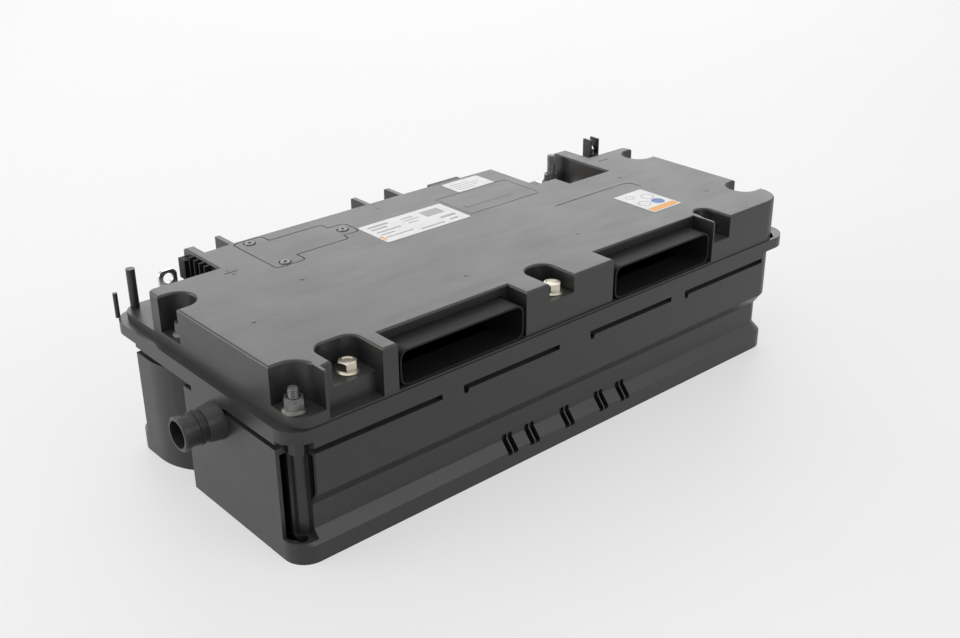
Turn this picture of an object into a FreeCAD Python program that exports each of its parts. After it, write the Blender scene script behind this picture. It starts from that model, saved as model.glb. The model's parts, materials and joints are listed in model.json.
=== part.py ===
"""Mild hybrid traction battery: a long moulded case with its cover, terminals and cell stack.

Millimetres, +Z up. The origin is the middle of the case's underside, +X runs along the long
front towards the right-hand end and -Y faces the front, where the two air ports are.
"""
import FreeCAD, Part
import math
import os

import Sketcher

doc = FreeCAD.newDocument("mild_hybrid_battery")

# Driving dimensions, each a plain number in millimetres unless its note says degrees or a count
DRIVING = (
    ("case_length", 526.0, "lower case, along X at the foot"),
    ("case_depth", 234.0, "lower case, along Y at the foot"),
    ("case_height", 106.0, "underside to the face that the cover sits on"),
    ("case_round", 18.0, "vertical corner radius of the lower case"),
    ("foot_height", 14.5, "upright face of the foot"),
    ("waist_low", 23.0, "height where the foot's slope meets the waist"),
    ("waist_high", 43.0, "height where the waist ends"),
    ("ledge_height", 54.0, "height where the upper wall starts"),
    ("waist_inset", 7.5, "how far the waist stands back from the foot"),
    ("wall", 3.0, "moulded wall of the case"),
    ("floor_thickness", 4.0, "floor of the case"),
    ("flange_thickness", 10.0, "flange round the top of the case"),
    ("flange_right", 20.5, "flange beyond the right-hand wall"),
    ("flange_rear", 21.3, "flange beyond the rear wall"),
    ("flange_round", 20.0, "corner radius of the flange"),
    ("rim_depth", 22.0, "height of the thick rim under the flange face"),
    ("rim_width", 16.0, "width of that rim"),
    ("slot_top", 91.0, "upper edge of the grooves under the flange"),
    ("slot_height", 4.4, "height of those grooves"),
    ("slot_depth", 6.0, "depth of those grooves"),
    ("slot_hook", 3.2, "step down at the left end of each front groove"),
    ("scoop_radius", 55.0, "radius of the scoop in the left wall"),
    ("scoop_from_front", 142.0, "front edge of that scoop"),
    ("scoop_top", 90.0, "height where the scoop ends"),
    ("notch_side", 19.0, "square corner notch beside the foot ears"),
    ("notch_step", 12.0, "how far the corner post stands back in that notch"),
    ("ear_height", 17.0, "top of the foot ear inside the notch"),
    ("ear_hole_inset", 10.5, "left mounting holes from both outer faces"),
    ("ear_hole_radius", 4.4, "mounting holes for an M8 bolt"),
    ("right_hole_inset", 10.5, "right mounting holes from the right face"),
    ("right_hole_from_side", 24.0, "right mounting holes from the front and rear faces"),
    ("right_recess_radius", 9.5, "wrench recess over each right mounting hole"),
    ("pocket_width", 10.5, "small pockets in the front foot"),
    ("pocket_low", 11.5, "lower edge of those pockets"),
    ("pocket_high", 27.0, "upper edge of those pockets"),
    ("pocket_depth", 10.0, "depth of those pockets"),
    ("pipe_from_front", 95.0, "gas vent pipe axis from the front face"),
    ("pipe_height", 80.0, "gas vent pipe axis above the underside"),
    ("pipe_length", 32.0, "gas vent pipe beyond the left wall"),
    ("pipe_root_radius", 15.0, "pipe at the wall"),
    ("pipe_root_length", 13.0, "length of the tapering root"),
    ("pipe_radius", 12.0, "outside radius of the pipe"),
    ("pipe_bead", 1.1, "height of the bead and of the end collar"),
    ("pipe_bore_radius", 10.4, "bore of the pipe"),
    ("insert_radius", 5.6, "brass inserts in the flange"),
    ("insert_length", 13.0, "length of those inserts"),
    ("boss_radius", 7.6, "bosses round the inserts"),
    ("seal_width", 2.4, "width of the seal between case and cover"),
    ("seal_depth", 1.8, "depth of the seal's groove"),
    ("seal_inset", 1.8, "seal from the cover's outer edge"),
    ("cover_left_gap", 7.3, "cover edge from the left flange edge"),
    ("cover_front_gap", 1.0, "cover edge from the front flange edge"),
    ("cover_right_gap", 11.5, "cover edge from the right flange edge"),
    ("cover_rear_gap", 5.3, "cover edge from the rear flange edge"),
    ("skirt_height", 6.0, "low flat margin of the cover"),
    ("dome_height", 38.6, "raised part of the cover above the case"),
    ("dome_depth", 199.0, "raised part along Y on the left"),
    ("dome_round_left", 14.0, "front left corner radius of the cover"),
    ("dome_round_right", 24.0, "right corner radius of the cover"),
    ("cover_wall", 3.0, "moulded wall of the cover"),
    ("bay_left", 78.0, "service bay's left end from the left case face"),
    ("bay_right", 390.0, "service bay's right end from the left case face"),
    ("bay_depth", 37.5, "service bay behind the raised part"),
    ("low_corner_depth", 24.0, "step back of the raised part at the right rear"),
    ("front_bolt_inset", 22.4, "outer front cover bolts from the front face"),
    ("middle_bolt_inset", 15.0, "middle front cover bolt from the front face"),
    ("front_bolt_left", 65.0, "left front bolt from the left face"),
    ("front_bolt_middle", 254.5, "middle front bolt from the left face"),
    ("front_bolt_right", 447.5, "right front bolt from the left face"),
    ("bolt_seat_1", 18.8, "left front bolt seat above the case"),
    ("bolt_seat_2", 23.4, "middle front bolt seat above the case"),
    ("bolt_seat_3", 18.8, "right front bolt seat above the case"),
    ("niche_seat", 9.5, "end fastener seats above the case"),
    ("notch_1_start", 43.5, "notch of the left front bolt, from the left face"),
    ("notch_1_end", 79.5, "its right side, from the left face"),
    ("notch_2_start", 239.7, "notch of the middle front bolt, from the left face"),
    ("notch_2_end", 266.1, "its right side, from the left face"),
    ("notch_back", 37.0, "rear of both notches, from the front face"),
    ("notch_round", 11.0, "rear corners of both notches"),
    ("notch_3_radius", 9.3, "round notch over the right front bolt"),
    ("thin_wall", 1.9, "wall between that notch and the right port"),
    ("corner_stud_x", 15.6, "near left stud from the left face"),
    ("corner_stud_y", 15.0, "near left stud from the front face"),
    ("corner_niche_radius", 16.0, "niche round the near left stud"),
    ("left_stud_x", 18.7, "left end stud from the left face"),
    ("left_stud_y", 167.5, "left end stud from the front face"),
    ("end_notch_half", 14.5, "half the width of the notches in the cover's ends"),
    ("end_notch_depth", 22.0, "depth of those notches"),
    ("right_stud_inset", 4.4, "right end studs from the right case face"),
    ("right_front_stud_y", 42.6, "front one of them from the front face"),
    ("right_rear_stud_y", 171.8, "rear one of them from the front face"),
    ("rear_bolt_y", 13.5, "rear cover bolts behind the rear face"),
    ("rear_bolt_left", 91.5, "left rear bolt from the left face"),
    ("rear_bolt_middle", 262.0, "middle rear bolt from the left face"),
    ("rear_bolt_right", 403.0, "right rear bolt from the left face"),
    ("panel_left", 34.0, "set-back front panel, from the left face"),
    ("panel_right", 79.5, "its right end, from the left face"),
    ("panel_step", 8.6, "how far that panel stands back"),
    ("port_left_start", 92.6, "left port recess from the left face"),
    ("port_right_start", 310.9, "right port recess from the left face"),
    ("port_width", 123.0, "width of both recesses"),
    ("port_depth", 22.9, "depth of both recesses"),
    ("port_sill", 1.8, "recess floor above the case"),
    ("sleeve_gap", 2.6, "air sleeve from the sides of its recess"),
    ("sleeve_height", 28.6, "outside height of the air sleeves"),
    ("sleeve_round", 7.5, "corner radius of the air sleeves"),
    ("sleeve_wall", 1.6, "wall of the air sleeves"),
    ("sleeve_setback", 1.6, "air sleeve mouth behind the front face"),
    ("sleeve_length", 52.0, "air sleeves along Y"),
    ("sleeve_fit", 0.3, "gap round the sleeve where it passes the cover"),
    ("positive_bar_width", 8.4, "thickness of that wall"),
    ("shield_reach", 137.5, "both shield walls end this far behind the centre"),
    ("negative_pocket_left", 416.0, "negative terminal pocket from the left face"),
    ("negative_pocket_right", 468.0, "its right side, from the left face"),
    ("negative_pocket_front", 39.0, "its front side, from the centre"),
    ("negative_bar_width", 16.6, "shield wall beside the negative terminal"),
    ("negative_bar_end", 113.0, "rear end of that wall, from the centre"),
    ("right_wing_end", 80.0, "rear end of the raised part at the right"),
    ("terminal_x", 457.6, "negative stud from the left face"),
    ("terminal_y", 105.6, "negative stud from the centre"),
    ("terminal_radius", 4.0, "M8 terminal studs"),
    ("terminal_top", 41.0, "stud tops above the case"),
    ("positive_terminal_x", 50.0, "positive stud from the left face"),
    ("positive_terminal_y", 131.0, "positive stud from the centre"),
    ("fin_thickness", 4.4, "upright fins behind the service bay"),
    ("fin_reach", 143.0, "rear end of the fins, from the centre"),
    ("fin_left", 104.0, "left fin from the left face"),
    ("fin_middle", 243.4, "middle fin from the left face"),
    ("fin_right", 280.8, "right fin from the left face"),
    ("service_left", 103.5, "service cover's left edge from the left face"),
    ("service_right", 199.0, "its right edge, from the left face"),
    ("service_front", 51.0, "its front edge, from the centre"),
    ("service_rear", 117.0, "its rear edge, from the centre"),
    ("service_plate", 2.0, "thickness of the service cover"),
    ("service_gap", 0.8, "gap round the service cover"),
    ("post_x", 17.2, "tall post from the left face"),
    ("post_y", 127.4, "tall post from the centre"),
    ("post_radius", 3.6, "tall post"),
    ("post_height", 33.0, "tall post above the skirt"),
    ("pin_x", 4.3, "thin pin from the left face"),
    ("pin_y", 133.0, "thin pin from the centre"),
    ("pin_radius", 1.9, "thin pin"),
    ("pin_height", 20.0, "thin pin above the case"),
    ("clip_x", 509.6, "harness clip from the left face"),
    ("clip_y", 101.4, "harness clip from the centre"),
    ("label_thickness", 0.3, "adhesive labels"),
    ("cell_count", 14.0, "count"),
    ("cell_thickness", 26.5, "one cell along X"),
    ("cell_width", 148.0, "one cell along Y"),
    ("cell_height", 91.0, "one cell without its terminals"),
    ("cell_gap", 1.2, "spacer between two cells"),
    ("cell_post", 3.0, "terminal post above the cell"),
    ("cell_post_spacing", 104.0, "between a cell's two terminal posts"),
    ("cell_pad_thickness", 2.5, "pad under the cells"),
    ("stack_start", 91.0, "left face of the stack from the left case face"),
    ("end_plate_thickness", 8.0, "pressure plates at the ends of the stack"),
    ("strap_thickness", 1.4, "steel straps round the stack"),
    ("strap_height", 34.0, "height of those straps"),
    ("busbar_thickness", 2.0, "copper busbars"),
    ("board_length", 150.0, "battery management board along X"),
    ("board_width", 96.0, "battery management board along Y"),
    ("board_thickness", 1.6, "battery management board"),
    ("small_round", 6.0, "other upright corners of the raised part"),
    ("post_round", 7.0, "upright corner of the posts beside the feet"),
    ("middle_panel_step", 1.5, "how far the front between the ports stands back"),
    ("service_strip", 130.5, "end of the service cover's left strip, from the left face"),
    ("service_lug", 182.5, "start of its right lug, from the left face"),
    ("service_band_front", 64.5, "front of its middle band, from the centre"),
    ("service_band_rear", 105.0, "rear of that band, from the centre"),
    ("service_lug_front", 73.0, "front of its right lug, from the centre"),
    ("service_lug_rear", 95.0, "rear of that lug, from the centre"),
    ("service_round", 4.0, "corners of the service cover"),
    ("limiter_radius", 6.2, "metal limiters in the cover"),
    ("clear_hole", 4.4, "clearance holes for M8"),
    ("small_clear_hole", 3.3, "clearance holes for M6"),
    ("close_fit", 0.05, "clearance of pressed and screwed pieces"),
    ("pocket_floor", 10.0, "terminal level above the case"),
    ("seal_rear", 1.0, "seal's rear run behind the rear wall"),
    ("bus_thickness", 3.0, "main busbars"),
    ("bus_width", 20.0, "main busbars"),
    ("stack_boss_height", 8.0, "screw bosses on the case floor"),
    ("stack_boss_radius", 7.0, "screw bosses on the case floor"),
    ("stack_bolt_spacing", 100.0, "between the two screws at each end of the stack"),
    ("bracket_length", 16.0, "foot of each pressure plate"),
    ("relay_x", 40.0, "relay's middle from the left face"),
    ("relay_y", 49.0, "relay's middle from the front face"),
    ("board_clearance", 16.0, "between the board and the cover"),
    ("board_x", 224.0, "board from the left face"),
    ("board_y", 10.0, "board's front edge from the centre"),
    ("board_screw_inset", 6.0, "board screws from its edges"),
    ("board_post_radius", 4.0, "posts that hold the board"),
    ("board_screw_radius", 1.3, "board screws"),
    ("bolt_radius", 4.0, "M8 shanks and studs"),
    ("bolt_flats", 13.0, "their hexagons across flats"),
    ("bolt_flange", 1.8, "thickness of the flange under a head"),
    ("bolt_flange_radius", 8.9, "that flange"),
    ("bolt_head", 8.4, "height of a bolt's head"),
    ("stud_reach", 17.5, "end studs above their seats"),
    ("end_nut_height", 11.0, "nuts on the end studs"),
    ("small_bolt_radius", 3.0, "M6 screws inside and the relay's threads"),
    ("small_bolt_flats", 10.0, "their hexagons across flats"),
    ("small_bolt_head", 5.5, "height of those hexagons"),
    ("terminal_nut_height", 9.0, "nut on the negative stud"),
    ("fuse_nut_height", 7.0, "nuts on the fuse studs"),
    ("ear_thickness", 3.0, "ears of the relay and feet of the stack"),
    ("service_head_radius", 4.3, "service cover screw heads"),
    ("service_screw_radius", 1.95, "service cover screw shanks"),
    ("service_screw_length", 6.5, "their length below the top"),
    ("service_pad", 7.0, "thickened rim under the service cover"),
    ("label_main_x", 200.5, "main label from the left face"),
    ("label_main_y", 34.5, "main label from the centre"),
    ("label_main_length", 90.0, "main label along X"),
    ("label_main_width", 43.0, "main label along Y"),
    ("label_rear_x", 323.0, "rear label from the left face"),
    ("label_rear_y", 88.0, "rear label from the centre"),
    ("label_rear_length", 43.0, "rear label along X"),
    ("label_rear_width", 26.0, "rear label along Y"),
    ("label_side_x", 415.0, "right label from the left face"),
    ("label_side_y", -66.0, "right label from the centre"),
    ("label_side_length", 35.5, "right label along X"),
    ("label_side_width", 48.5, "right label along Y"),
    ("clip_width", 12.0, "harness clip along X"),
    ("clip_depth", 11.0, "harness clip along Y"),
    ("clip_stem", 27.0, "harness clip up to its bolt"),
    ("clip_height", 42.0, "whole harness clip"),
    ("clip_prong", 2.0, "thickness of its prongs"),
    ("busbar_width", 14.0, "cell busbars and posts"),
    ("link_width", 12.0, "link from the relay"),
    ("frame_thickness", 2.0, "busbar frame"),
    ("duct_width", 28.0, "gas duct over the cells"),
    ("duct_height", 8.5, "gas duct over the cells"),
    ("duct_end_gap", 28.0, "gas duct short of the stack's right end"),
    ("relay_length", 36.0, "relay along X"),
    ("relay_width", 44.0, "relay along Y"),
    ("relay_height", 84.0, "relay above the floor"),
    ("relay_ear", 15.0, "relay's fixing ears"),
    ("relay_ear_reach", 30.5, "relay screws from its middle"),
    ("relay_post_radius", 5.0, "relay's posts"),
    ("relay_post_spacing", 22.0, "between the relay's posts"),
    ("fuse_base_thickness", 6.0, "base under the fuse"),
    ("fuse_spacing", 50.0, "between the fuse's studs"),
    ("fuse_x", 152.0, "fuse's middle from the left face"),
    ("fuse_y", 84.0, "fuse's middle from the centre"),
    ("fuse_stud_reach", 16.0, "fuse studs above their base"),
    ("tab_height", 17.0, "positive terminal tab above the bus"),
    ("riser_y", 20.0, "upright part of the negative bus"),
    ("socket_x", 324.0, "signal socket from the left face"),
    ("socket_width", 36.0, "signal socket along X"),
    ("socket_height", 14.0, "signal socket"),
    ("socket_reach", 16.0, "signal socket behind the service bay"),
    ("socket_pin", 0.6, "contacts of the signal socket"),
    ("socket_pitch", 4.0, "between those contacts"),
    ("chip_size", 12.0, "small components on the board"),
    ("chip_height", 1.8, "height of those components"),
    ("block_size", 18.0, "large components on the board"),
    ("block_height", 6.0, "height of those components"),
    ("chip_pitch", 31.0, "between two components"),
    ("shunt_start", -22.0, "front of the current sensor"),
    ("shunt_end", 6.0, "rear of the current sensor"),
    ("shunt_height", 11.0, "height of the current sensor"),
    ("groove_1_start", 13.3, "grooves under the front flange, from the left face"),
    ("groove_1_end", 130.4, "right end of the first"),
    ("groove_2_start", 150.7, "left end of the second"),
    ("groove_2_end", 249.5, "right end of the second"),
    ("groove_3_start", 283.9, "left end of the third"),
    ("groove_3_end", 382.4, "right end of the third"),
    ("groove_4_start", 400.0, "left end of the fourth"),
    ("groove_4_end", 507.4, "right end of the fourth"),
    ("side_groove_1_start", 18.5, "grooves under the left flange, from the front face"),
    ("side_groove_1_end", 92.0, "rear end of the first"),
    ("side_groove_2_start", 130.0, "front end of the second"),
    ("side_groove_2_end", 219.0, "rear end of the second"),
    ("side_groove_raise", 2.2, "how much higher the left grooves are"),
    ("pocket_1", 200.4, "middles of the pockets in the front foot, from the left face"),
    ("pocket_2", 224.2, "the second"),
    ("pocket_3", 263.6, "the third"),
    ("pocket_4", 303.6, "the fourth"),
    ("pocket_5", 329.4, "the fifth"),
    ("pocket_web", 1.2, "web in the middle of each pocket"),
)

sheet = doc.addObject("Spreadsheet::Sheet", "Sizes")
for row, (alias, number, note) in enumerate(DRIVING, start=1):
    sheet.set(f"A{row}", alias)
    sheet.set(f"B{row}", str(number))
    sheet.set(f"C{row}", note)
    sheet.setAlias(f"B{row}", alias)
doc.recompute()


class Length:
    """A length as the expression that FreeCAD keeps, with its present value beside it."""

    def __init__(self, text, number):
        self.text = text
        self.number = float(number)

    @staticmethod
    def of(other):
        return other if isinstance(other, Length) else Length(repr(float(other)), other)

    def joined(self, sign, other, number):
        return Length(f"({self.text} {sign} {other.text})", number)

    def __add__(self, other):
        other = Length.of(other)
        return self.joined("+", other, self.number + other.number)

    def __radd__(self, other):
        return Length.of(other) + self

    def __sub__(self, other):
        other = Length.of(other)
        return self.joined("-", other, self.number - other.number)

    def __rsub__(self, other):
        return Length.of(other) - self

    def __mul__(self, other):
        other = Length.of(other)
        return self.joined("*", other, self.number * other.number)

    def __rmul__(self, other):
        return Length.of(other) * self

    def __truediv__(self, other):
        other = Length.of(other)
        return self.joined("/", other, self.number / other.number)

    def __neg__(self):
        return Length(f"(0 - {self.text})", -self.number)


class Sizes:
    """The sheet's cells by name, as lengths."""

    def __getattr__(self, alias):
        return Length(f"Sizes.{alias}", sheet.get(alias))


size = Sizes()


def bind(item, name, length):
    """Ties one property of an object to an expression on the sheet."""
    item.setExpression(name, Length.of(length).text)


# Sketch outlines, each drawn by a function of the sketch and the list of its rules

def circle(x, y, radius):
    """A full circle."""

    def draw(sketch, rules):
        centre = FreeCAD.Vector(Length.of(x).number, Length.of(y).number, 0)
        index = sketch.addGeometry(Part.Circle(centre, FreeCAD.Vector(0, 0, 1), Length.of(radius).number))
        rules.append(("DistanceX", (index, 3), x))
        rules.append(("DistanceY", (index, 3), y))
        rules.append(("Radius", (index,), radius))

    return draw


def path(*corners):
    """Edges through the corners in order; a third value is the radius of the arc that leaves a
    corner, turning left when it is positive and right when it is negative."""

    def draw(sketch, rules):
        points = [FreeCAD.Vector(Length.of(corner[0]).number, Length.of(corner[1]).number, 0)
                  for corner in corners]
        count = len(points)
        ends = []
        for index, corner in enumerate(corners):
            begin, end = points[index], points[(index + 1) % count]
            if len(corner) == 2:
                number = sketch.addGeometry(Part.LineSegment(begin, end))
                ends.append((number, 1, 2))
            else:
                number, forward = add_arc(sketch, begin, end, Length.of(corner[2]).number)
                ends.append((number, 1, 2) if forward else (number, 2, 1))
        for index, (number, _, last) in enumerate(ends):
            following, first, _ = ends[(index + 1) % count]
            rules.append(("Coincident", (number, last, following, first), None))
        for (number, first, _), corner in zip(ends, corners):
            rules.append(("DistanceX", (number, first), corner[0]))
            rules.append(("DistanceY", (number, first), corner[1]))
            if len(corner) == 3:
                radius = Length.of(corner[2])
                rules.append(("Radius", (number,), radius if radius.number > 0 else -radius))

    return draw


def add_arc(sketch, begin, end, radius):
    """The shorter arc from one point to another, and whether it is drawn in that direction."""
    chord = end - begin
    side = FreeCAD.Vector(-chord.y, chord.x, 0).normalize()
    height = math.sqrt(max(radius ** 2 - chord.Length ** 2 / 4, 0))
    centre = (begin + end) / 2 + side * math.copysign(height, radius)
    ring = Part.Circle(centre, FreeCAD.Vector(0, 0, 1), abs(radius))
    from_begin = math.atan2(begin.y - centre.y, begin.x - centre.x)
    from_end = math.atan2(end.y - centre.y, end.x - centre.x)
    turns = (from_begin, from_end) if radius > 0 else (from_end, from_begin)
    return sketch.addGeometry(Part.ArcOfCircle(ring, *turns)), radius > 0


def apply_rules(sketch, rules):
    """Gives a sketch all its rules at once and ties the dimensions to their expressions."""
    made = []
    for kind, where, length in rules:
        values = where if length is None else (*where, Length.of(length).number)
        made.append(Sketcher.Constraint(kind, *values))
    numbers = sketch.addConstraint(made)
    for number, (_, _, length) in zip(numbers, rules):
        if length is not None:
            bind(sketch, f"Constraints[{number}]", length)


def blocks(*corners, inset=0.0):
    """An outline of edges along the two axes, turning left, each corner with a radius or none.
    The inset moves every edge inwards and makes the outward corners' radii that much smaller."""
    values = [[Length.of(part) for part in corner] for corner in corners]
    count = len(values)
    moved = []
    for index, corner in enumerate(values):
        before, after = values[index - 1], values[(index + 1) % count]
        arriving = (corner[0].number - before[0].number, corner[1].number - before[1].number)
        leaving = (after[0].number - corner[0].number, after[1].number - corner[1].number)
        turn = 1 if arriving[0] * leaving[1] - arriving[1] * leaving[0] > 0 else -1
        steps = [tuple(0 if abs(part) < 1e-9 else math.copysign(1, part) for part in step)
                 for step in (arriving, leaving)]
        inward = (-(steps[0][1] + steps[1][1]), steps[0][0] + steps[1][0])
        x, y = corner[0] + inward[0] * Length.of(inset), corner[1] + inward[1] * Length.of(inset)
        if len(corner) == 2:
            moved.append((x, y))
            continue
        radius = corner[2] - turn * Length.of(inset)
        (across, up), (far, along_up) = steps
        moved.append((x - across * radius, y - up * radius, turn * radius))
        moved.append((x + far * radius, y + along_up * radius))
    return path(*moved)


def rectangle(left, right, low, high, *rounds):
    """A rectangle with square corners, one corner radius, or one each from low left, turning left."""
    corners = [(left, low), (right, low), (right, high), (left, high)]
    if rounds:
        radii = rounds * 4 if len(rounds) == 1 else rounds
        corners = [corner if radius is None else (*corner, radius) for corner, radius in zip(corners, radii)]
    return blocks(*corners)


# Repeated or hidden rounds have few edges: a shaft's corners and a bore's flats lie on the circle

HIDDEN_SIDES = 8
SHOWN_SIDES = 16
CHAMFER = 2 - math.sqrt(2)


def polygon(x, y, radius, sides=HIDDEN_SIDES):
    """A regular outline with its corners on a circle."""
    turns = [2 * math.pi * number / sides for number in range(sides)]
    return path(*[(x + round(math.cos(turn), 9) * radius, y + round(math.sin(turn), 9) * radius)
                  for turn in turns])


def bore(x, y, radius, sides=HIDDEN_SIDES):
    """A regular outline with its flats on a circle, so that a round of that radius passes."""
    return polygon(x, y, radius / math.cos(math.pi / sides), sides)


def chamfered(left_edge, right_edge, low, high, radius):
    """A rectangle whose corners are cut off along lines that touch the arcs of the radius."""
    leg = CHAMFER * radius
    return path((left_edge + leg, low), (right_edge - leg, low), (right_edge, low + leg),
                (right_edge, high - leg), (right_edge - leg, high), (left_edge + leg, high),
                (left_edge, high - leg), (left_edge, low + leg))


def numbered_sizes(text, count):
    """The cells of a numbered row, such as pocket_1 to pocket_5."""
    return [getattr(size, text.format(number)) for number in range(1, count + 1)]


# Bodies and their features

ORIGIN_PLANES = {"X": "YZ_Plane", "Y": "XZ_Plane", "Z": "XY_Plane"}


def new_body(name):
    """A body that becomes one sub-part."""
    body = doc.addObject("PartDesign::Body", name)
    body.Label = name
    return body


def sketch_on(body, name, axis, place, *outlines):
    """A sketch square to an axis, at a place along it, holding the given outlines."""
    sketch = body.newObject("Sketcher::SketchObject", name)
    plane = next(item for item in body.Origin.OriginFeatures if item.Role == ORIGIN_PLANES[axis])
    sketch.AttachmentSupport = [(plane, "")]
    sketch.MapMode = "FlatFace"
    place = Length.of(place)
    bind(sketch, "AttachmentOffset.Base.z", -place if axis == "Y" else place)
    rules = []
    for draw in outlines:
        draw(sketch, rules)
    apply_rules(sketch, rules)
    sketch.Visibility = False
    return sketch


def add(body, name, axis, start, end, *outlines):
    """Pads outlines along an axis from start to end."""
    pad = body.newObject("PartDesign::Pad", name)
    pad.Profile = sketch_on(body, f"{name}_outline", axis, start, *outlines)
    pad.Reversed = axis == "Y"
    bind(pad, "Length", Length.of(end) - start)
    return pad


def cut(body, name, axis, start, end, *outlines):
    """Cuts outlines out along an axis from start to end."""
    pocket = body.newObject("PartDesign::Pocket", name)
    pocket.Profile = sketch_on(body, f"{name}_outline", axis, start, *outlines)
    pocket.Reversed = axis != "Y"
    bind(pocket, "Length", Length.of(end) - start)
    return pocket


def taper(body, name, axis, start, first, end, second, kind="AdditiveLoft"):
    """A straight loft from one outline to another along an axis."""
    loft = body.newObject(f"PartDesign::{kind}", name)
    loft.Profile = sketch_on(body, f"{name}_start", axis, start, first)
    loft.Sections = [sketch_on(body, f"{name}_end", axis, end, second)]
    loft.Ruled = True
    return loft


def turn(body, name, y, z, outline):
    """Revolves an outline round a line along X, at the given place; it is drawn as x and radius."""
    sketch = sketch_on(body, f"{name}_outline", "Y", y, outline)
    bind(sketch, "AttachmentOffset.Base.y", z)
    revolution = body.newObject("PartDesign::Revolution", name)
    revolution.Profile = sketch
    revolution.ReferenceAxis = (sketch, ["H_Axis"])
    return revolution


def box(name, x1, x2, y1, y2, z1, z2):
    """A plain block between six planes."""
    block = doc.addObject("Part::Box", name)
    for name_, low, high in (("Length", x1, x2), ("Width", y1, y2), ("Height", z1, z2)):
        bind(block, name_, Length.of(high) - low)
    for name_, low in (("x", x1), ("y", y1), ("z", z1)):
        bind(block, f"Placement.Base.{name_}", low)
    return block


def cylinder(name, x, y, z1, z2, radius):
    """An upright cylinder."""
    post = doc.addObject("Part::Cylinder", name)
    bind(post, "Radius", radius)
    bind(post, "Height", Length.of(z2) - z1)
    for name_, place in (("x", x), ("y", y), ("z", z1)):
        bind(post, f"Placement.Base.{name_}", place)
    return post


def prism(name, x, y, z1, z2, radius, sides=HIDDEN_SIDES):
    """An upright prism with its corners on a circle."""
    shape = doc.addObject("Part::Prism", name)
    shape.Polygon = sides
    bind(shape, "Circumradius", radius)
    bind(shape, "Height", Length.of(z2) - z1)
    for name_, place in (("x", x), ("y", y), ("z", z1)):
        bind(shape, f"Placement.Base.{name_}", place)
    return shape


def hexagon(name, x, y, z1, z2, across_flats):
    """An upright hexagonal prism."""
    return prism(name, x, y, z1, z2, Length.of(across_flats) / math.sqrt(3), 6)


def fuse(name, *shapes):
    """One solid out of shapes that meet."""
    whole = doc.addObject("Part::MultiFuse", name)
    whole.Shapes = list(shapes)
    whole.Refine = True
    return whole


def minus(name, base, tool):
    """One shape less another."""
    rest = doc.addObject("Part::Cut", name)
    rest.Base = base
    rest.Tool = tool
    rest.Refine = True
    return rest


def group(name, shapes):
    """Separate like solids that share one node."""
    whole = doc.addObject("Part::Compound", name)
    whole.Links = list(shapes)
    return whole


def tube(name, x, y, z1, z2, radius, room):
    """A ring with few edges, its bore wide enough for a round of the given radius."""
    outer = prism(f"{name}_outside", x, y, z1, z2, radius)
    inner = prism(f"{name}_hole", x, y, Length.of(z1) - 1, Length.of(z2) + 1,
                  room / math.cos(math.pi / HIDDEN_SIDES))
    return minus(name, outer, inner)


# Planes that many pieces share

left = -size.case_length / 2
right = size.case_length / 2
front = -size.case_depth / 2
rear = size.case_depth / 2
deck = size.case_height
skirt_top = deck + size.skirt_height
cover_top = deck + size.dome_height
niche_seat = deck + size.niche_seat
cover_left = left + size.cover_left_gap
cover_right = right + size.flange_right - size.cover_right_gap
cover_front = front + size.cover_front_gap
cover_rear = rear + size.flange_rear - size.cover_rear_gap
dome_rear = front + size.dome_depth

front_bolts = [(left + size.front_bolt_left, front + size.front_bolt_inset),
               (left + size.front_bolt_middle, front + size.middle_bolt_inset),
               (left + size.front_bolt_right, front + size.front_bolt_inset)]
front_seats = [deck + seat for seat in numbered_sizes("bolt_seat_{}", 3)]
rear_bolts = [(left + along_x, rear + size.rear_bolt_y)
              for along_x in (size.rear_bolt_left, size.rear_bolt_middle, size.rear_bolt_right)]
corner_stud = (left + size.corner_stud_x, front + size.corner_stud_y)
left_stud = (left + size.left_stud_x, front + size.left_stud_y)
right_studs = [(right - size.right_stud_inset, front + along_y)
               for along_y in (size.right_front_stud_y, size.right_rear_stud_y)]
end_studs = [corner_stud, left_stud, *right_studs]
ports = (("left", left + size.port_left_start), ("right", left + size.port_right_start))
left_holes = [(left + size.ear_hole_inset, front + size.ear_hole_inset),
              (left + size.ear_hole_inset, rear - size.ear_hole_inset)]
right_holes = [(right - size.right_hole_inset, front + size.right_hole_from_side),
               (right - size.right_hole_inset, rear - size.right_hole_from_side)]


# Lower case

def case_outline(inset=0.0, radius=None):
    """The case from above, stood back by an inset on every side but the flat left one."""
    return rectangle(left, right - inset, front + inset, rear - inset, radius or size.case_round)


def make_lower_case():
    """The tray that holds the cells, moulded in one with its flange, feet and gas pipe."""
    body = new_body("lower_case")
    waist = case_outline(size.waist_inset, size.case_round - size.waist_inset)
    add(body, "foot", "Z", 0, size.foot_height, case_outline())
    taper(body, "foot_slope", "Z", size.foot_height, case_outline(), size.waist_low, waist)
    add(body, "waist", "Z", size.waist_low, size.waist_high, waist)
    taper(body, "ledge", "Z", size.waist_high, waist, size.ledge_height, case_outline())
    flange_low = deck - size.flange_thickness
    add(body, "upper_wall", "Z", size.ledge_height, flange_low, case_outline())
    add(body, "flange", "Z", flange_low, deck,
        rectangle(left, right + size.flange_right, front, rear + size.flange_rear, size.flange_round))
    hollow_out(body)
    add_left_end(body)
    add_right_end(body)
    add_gas_pipe(body)
    add_flange_bosses(body)
    add_front_grooves(body)
    return body


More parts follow.
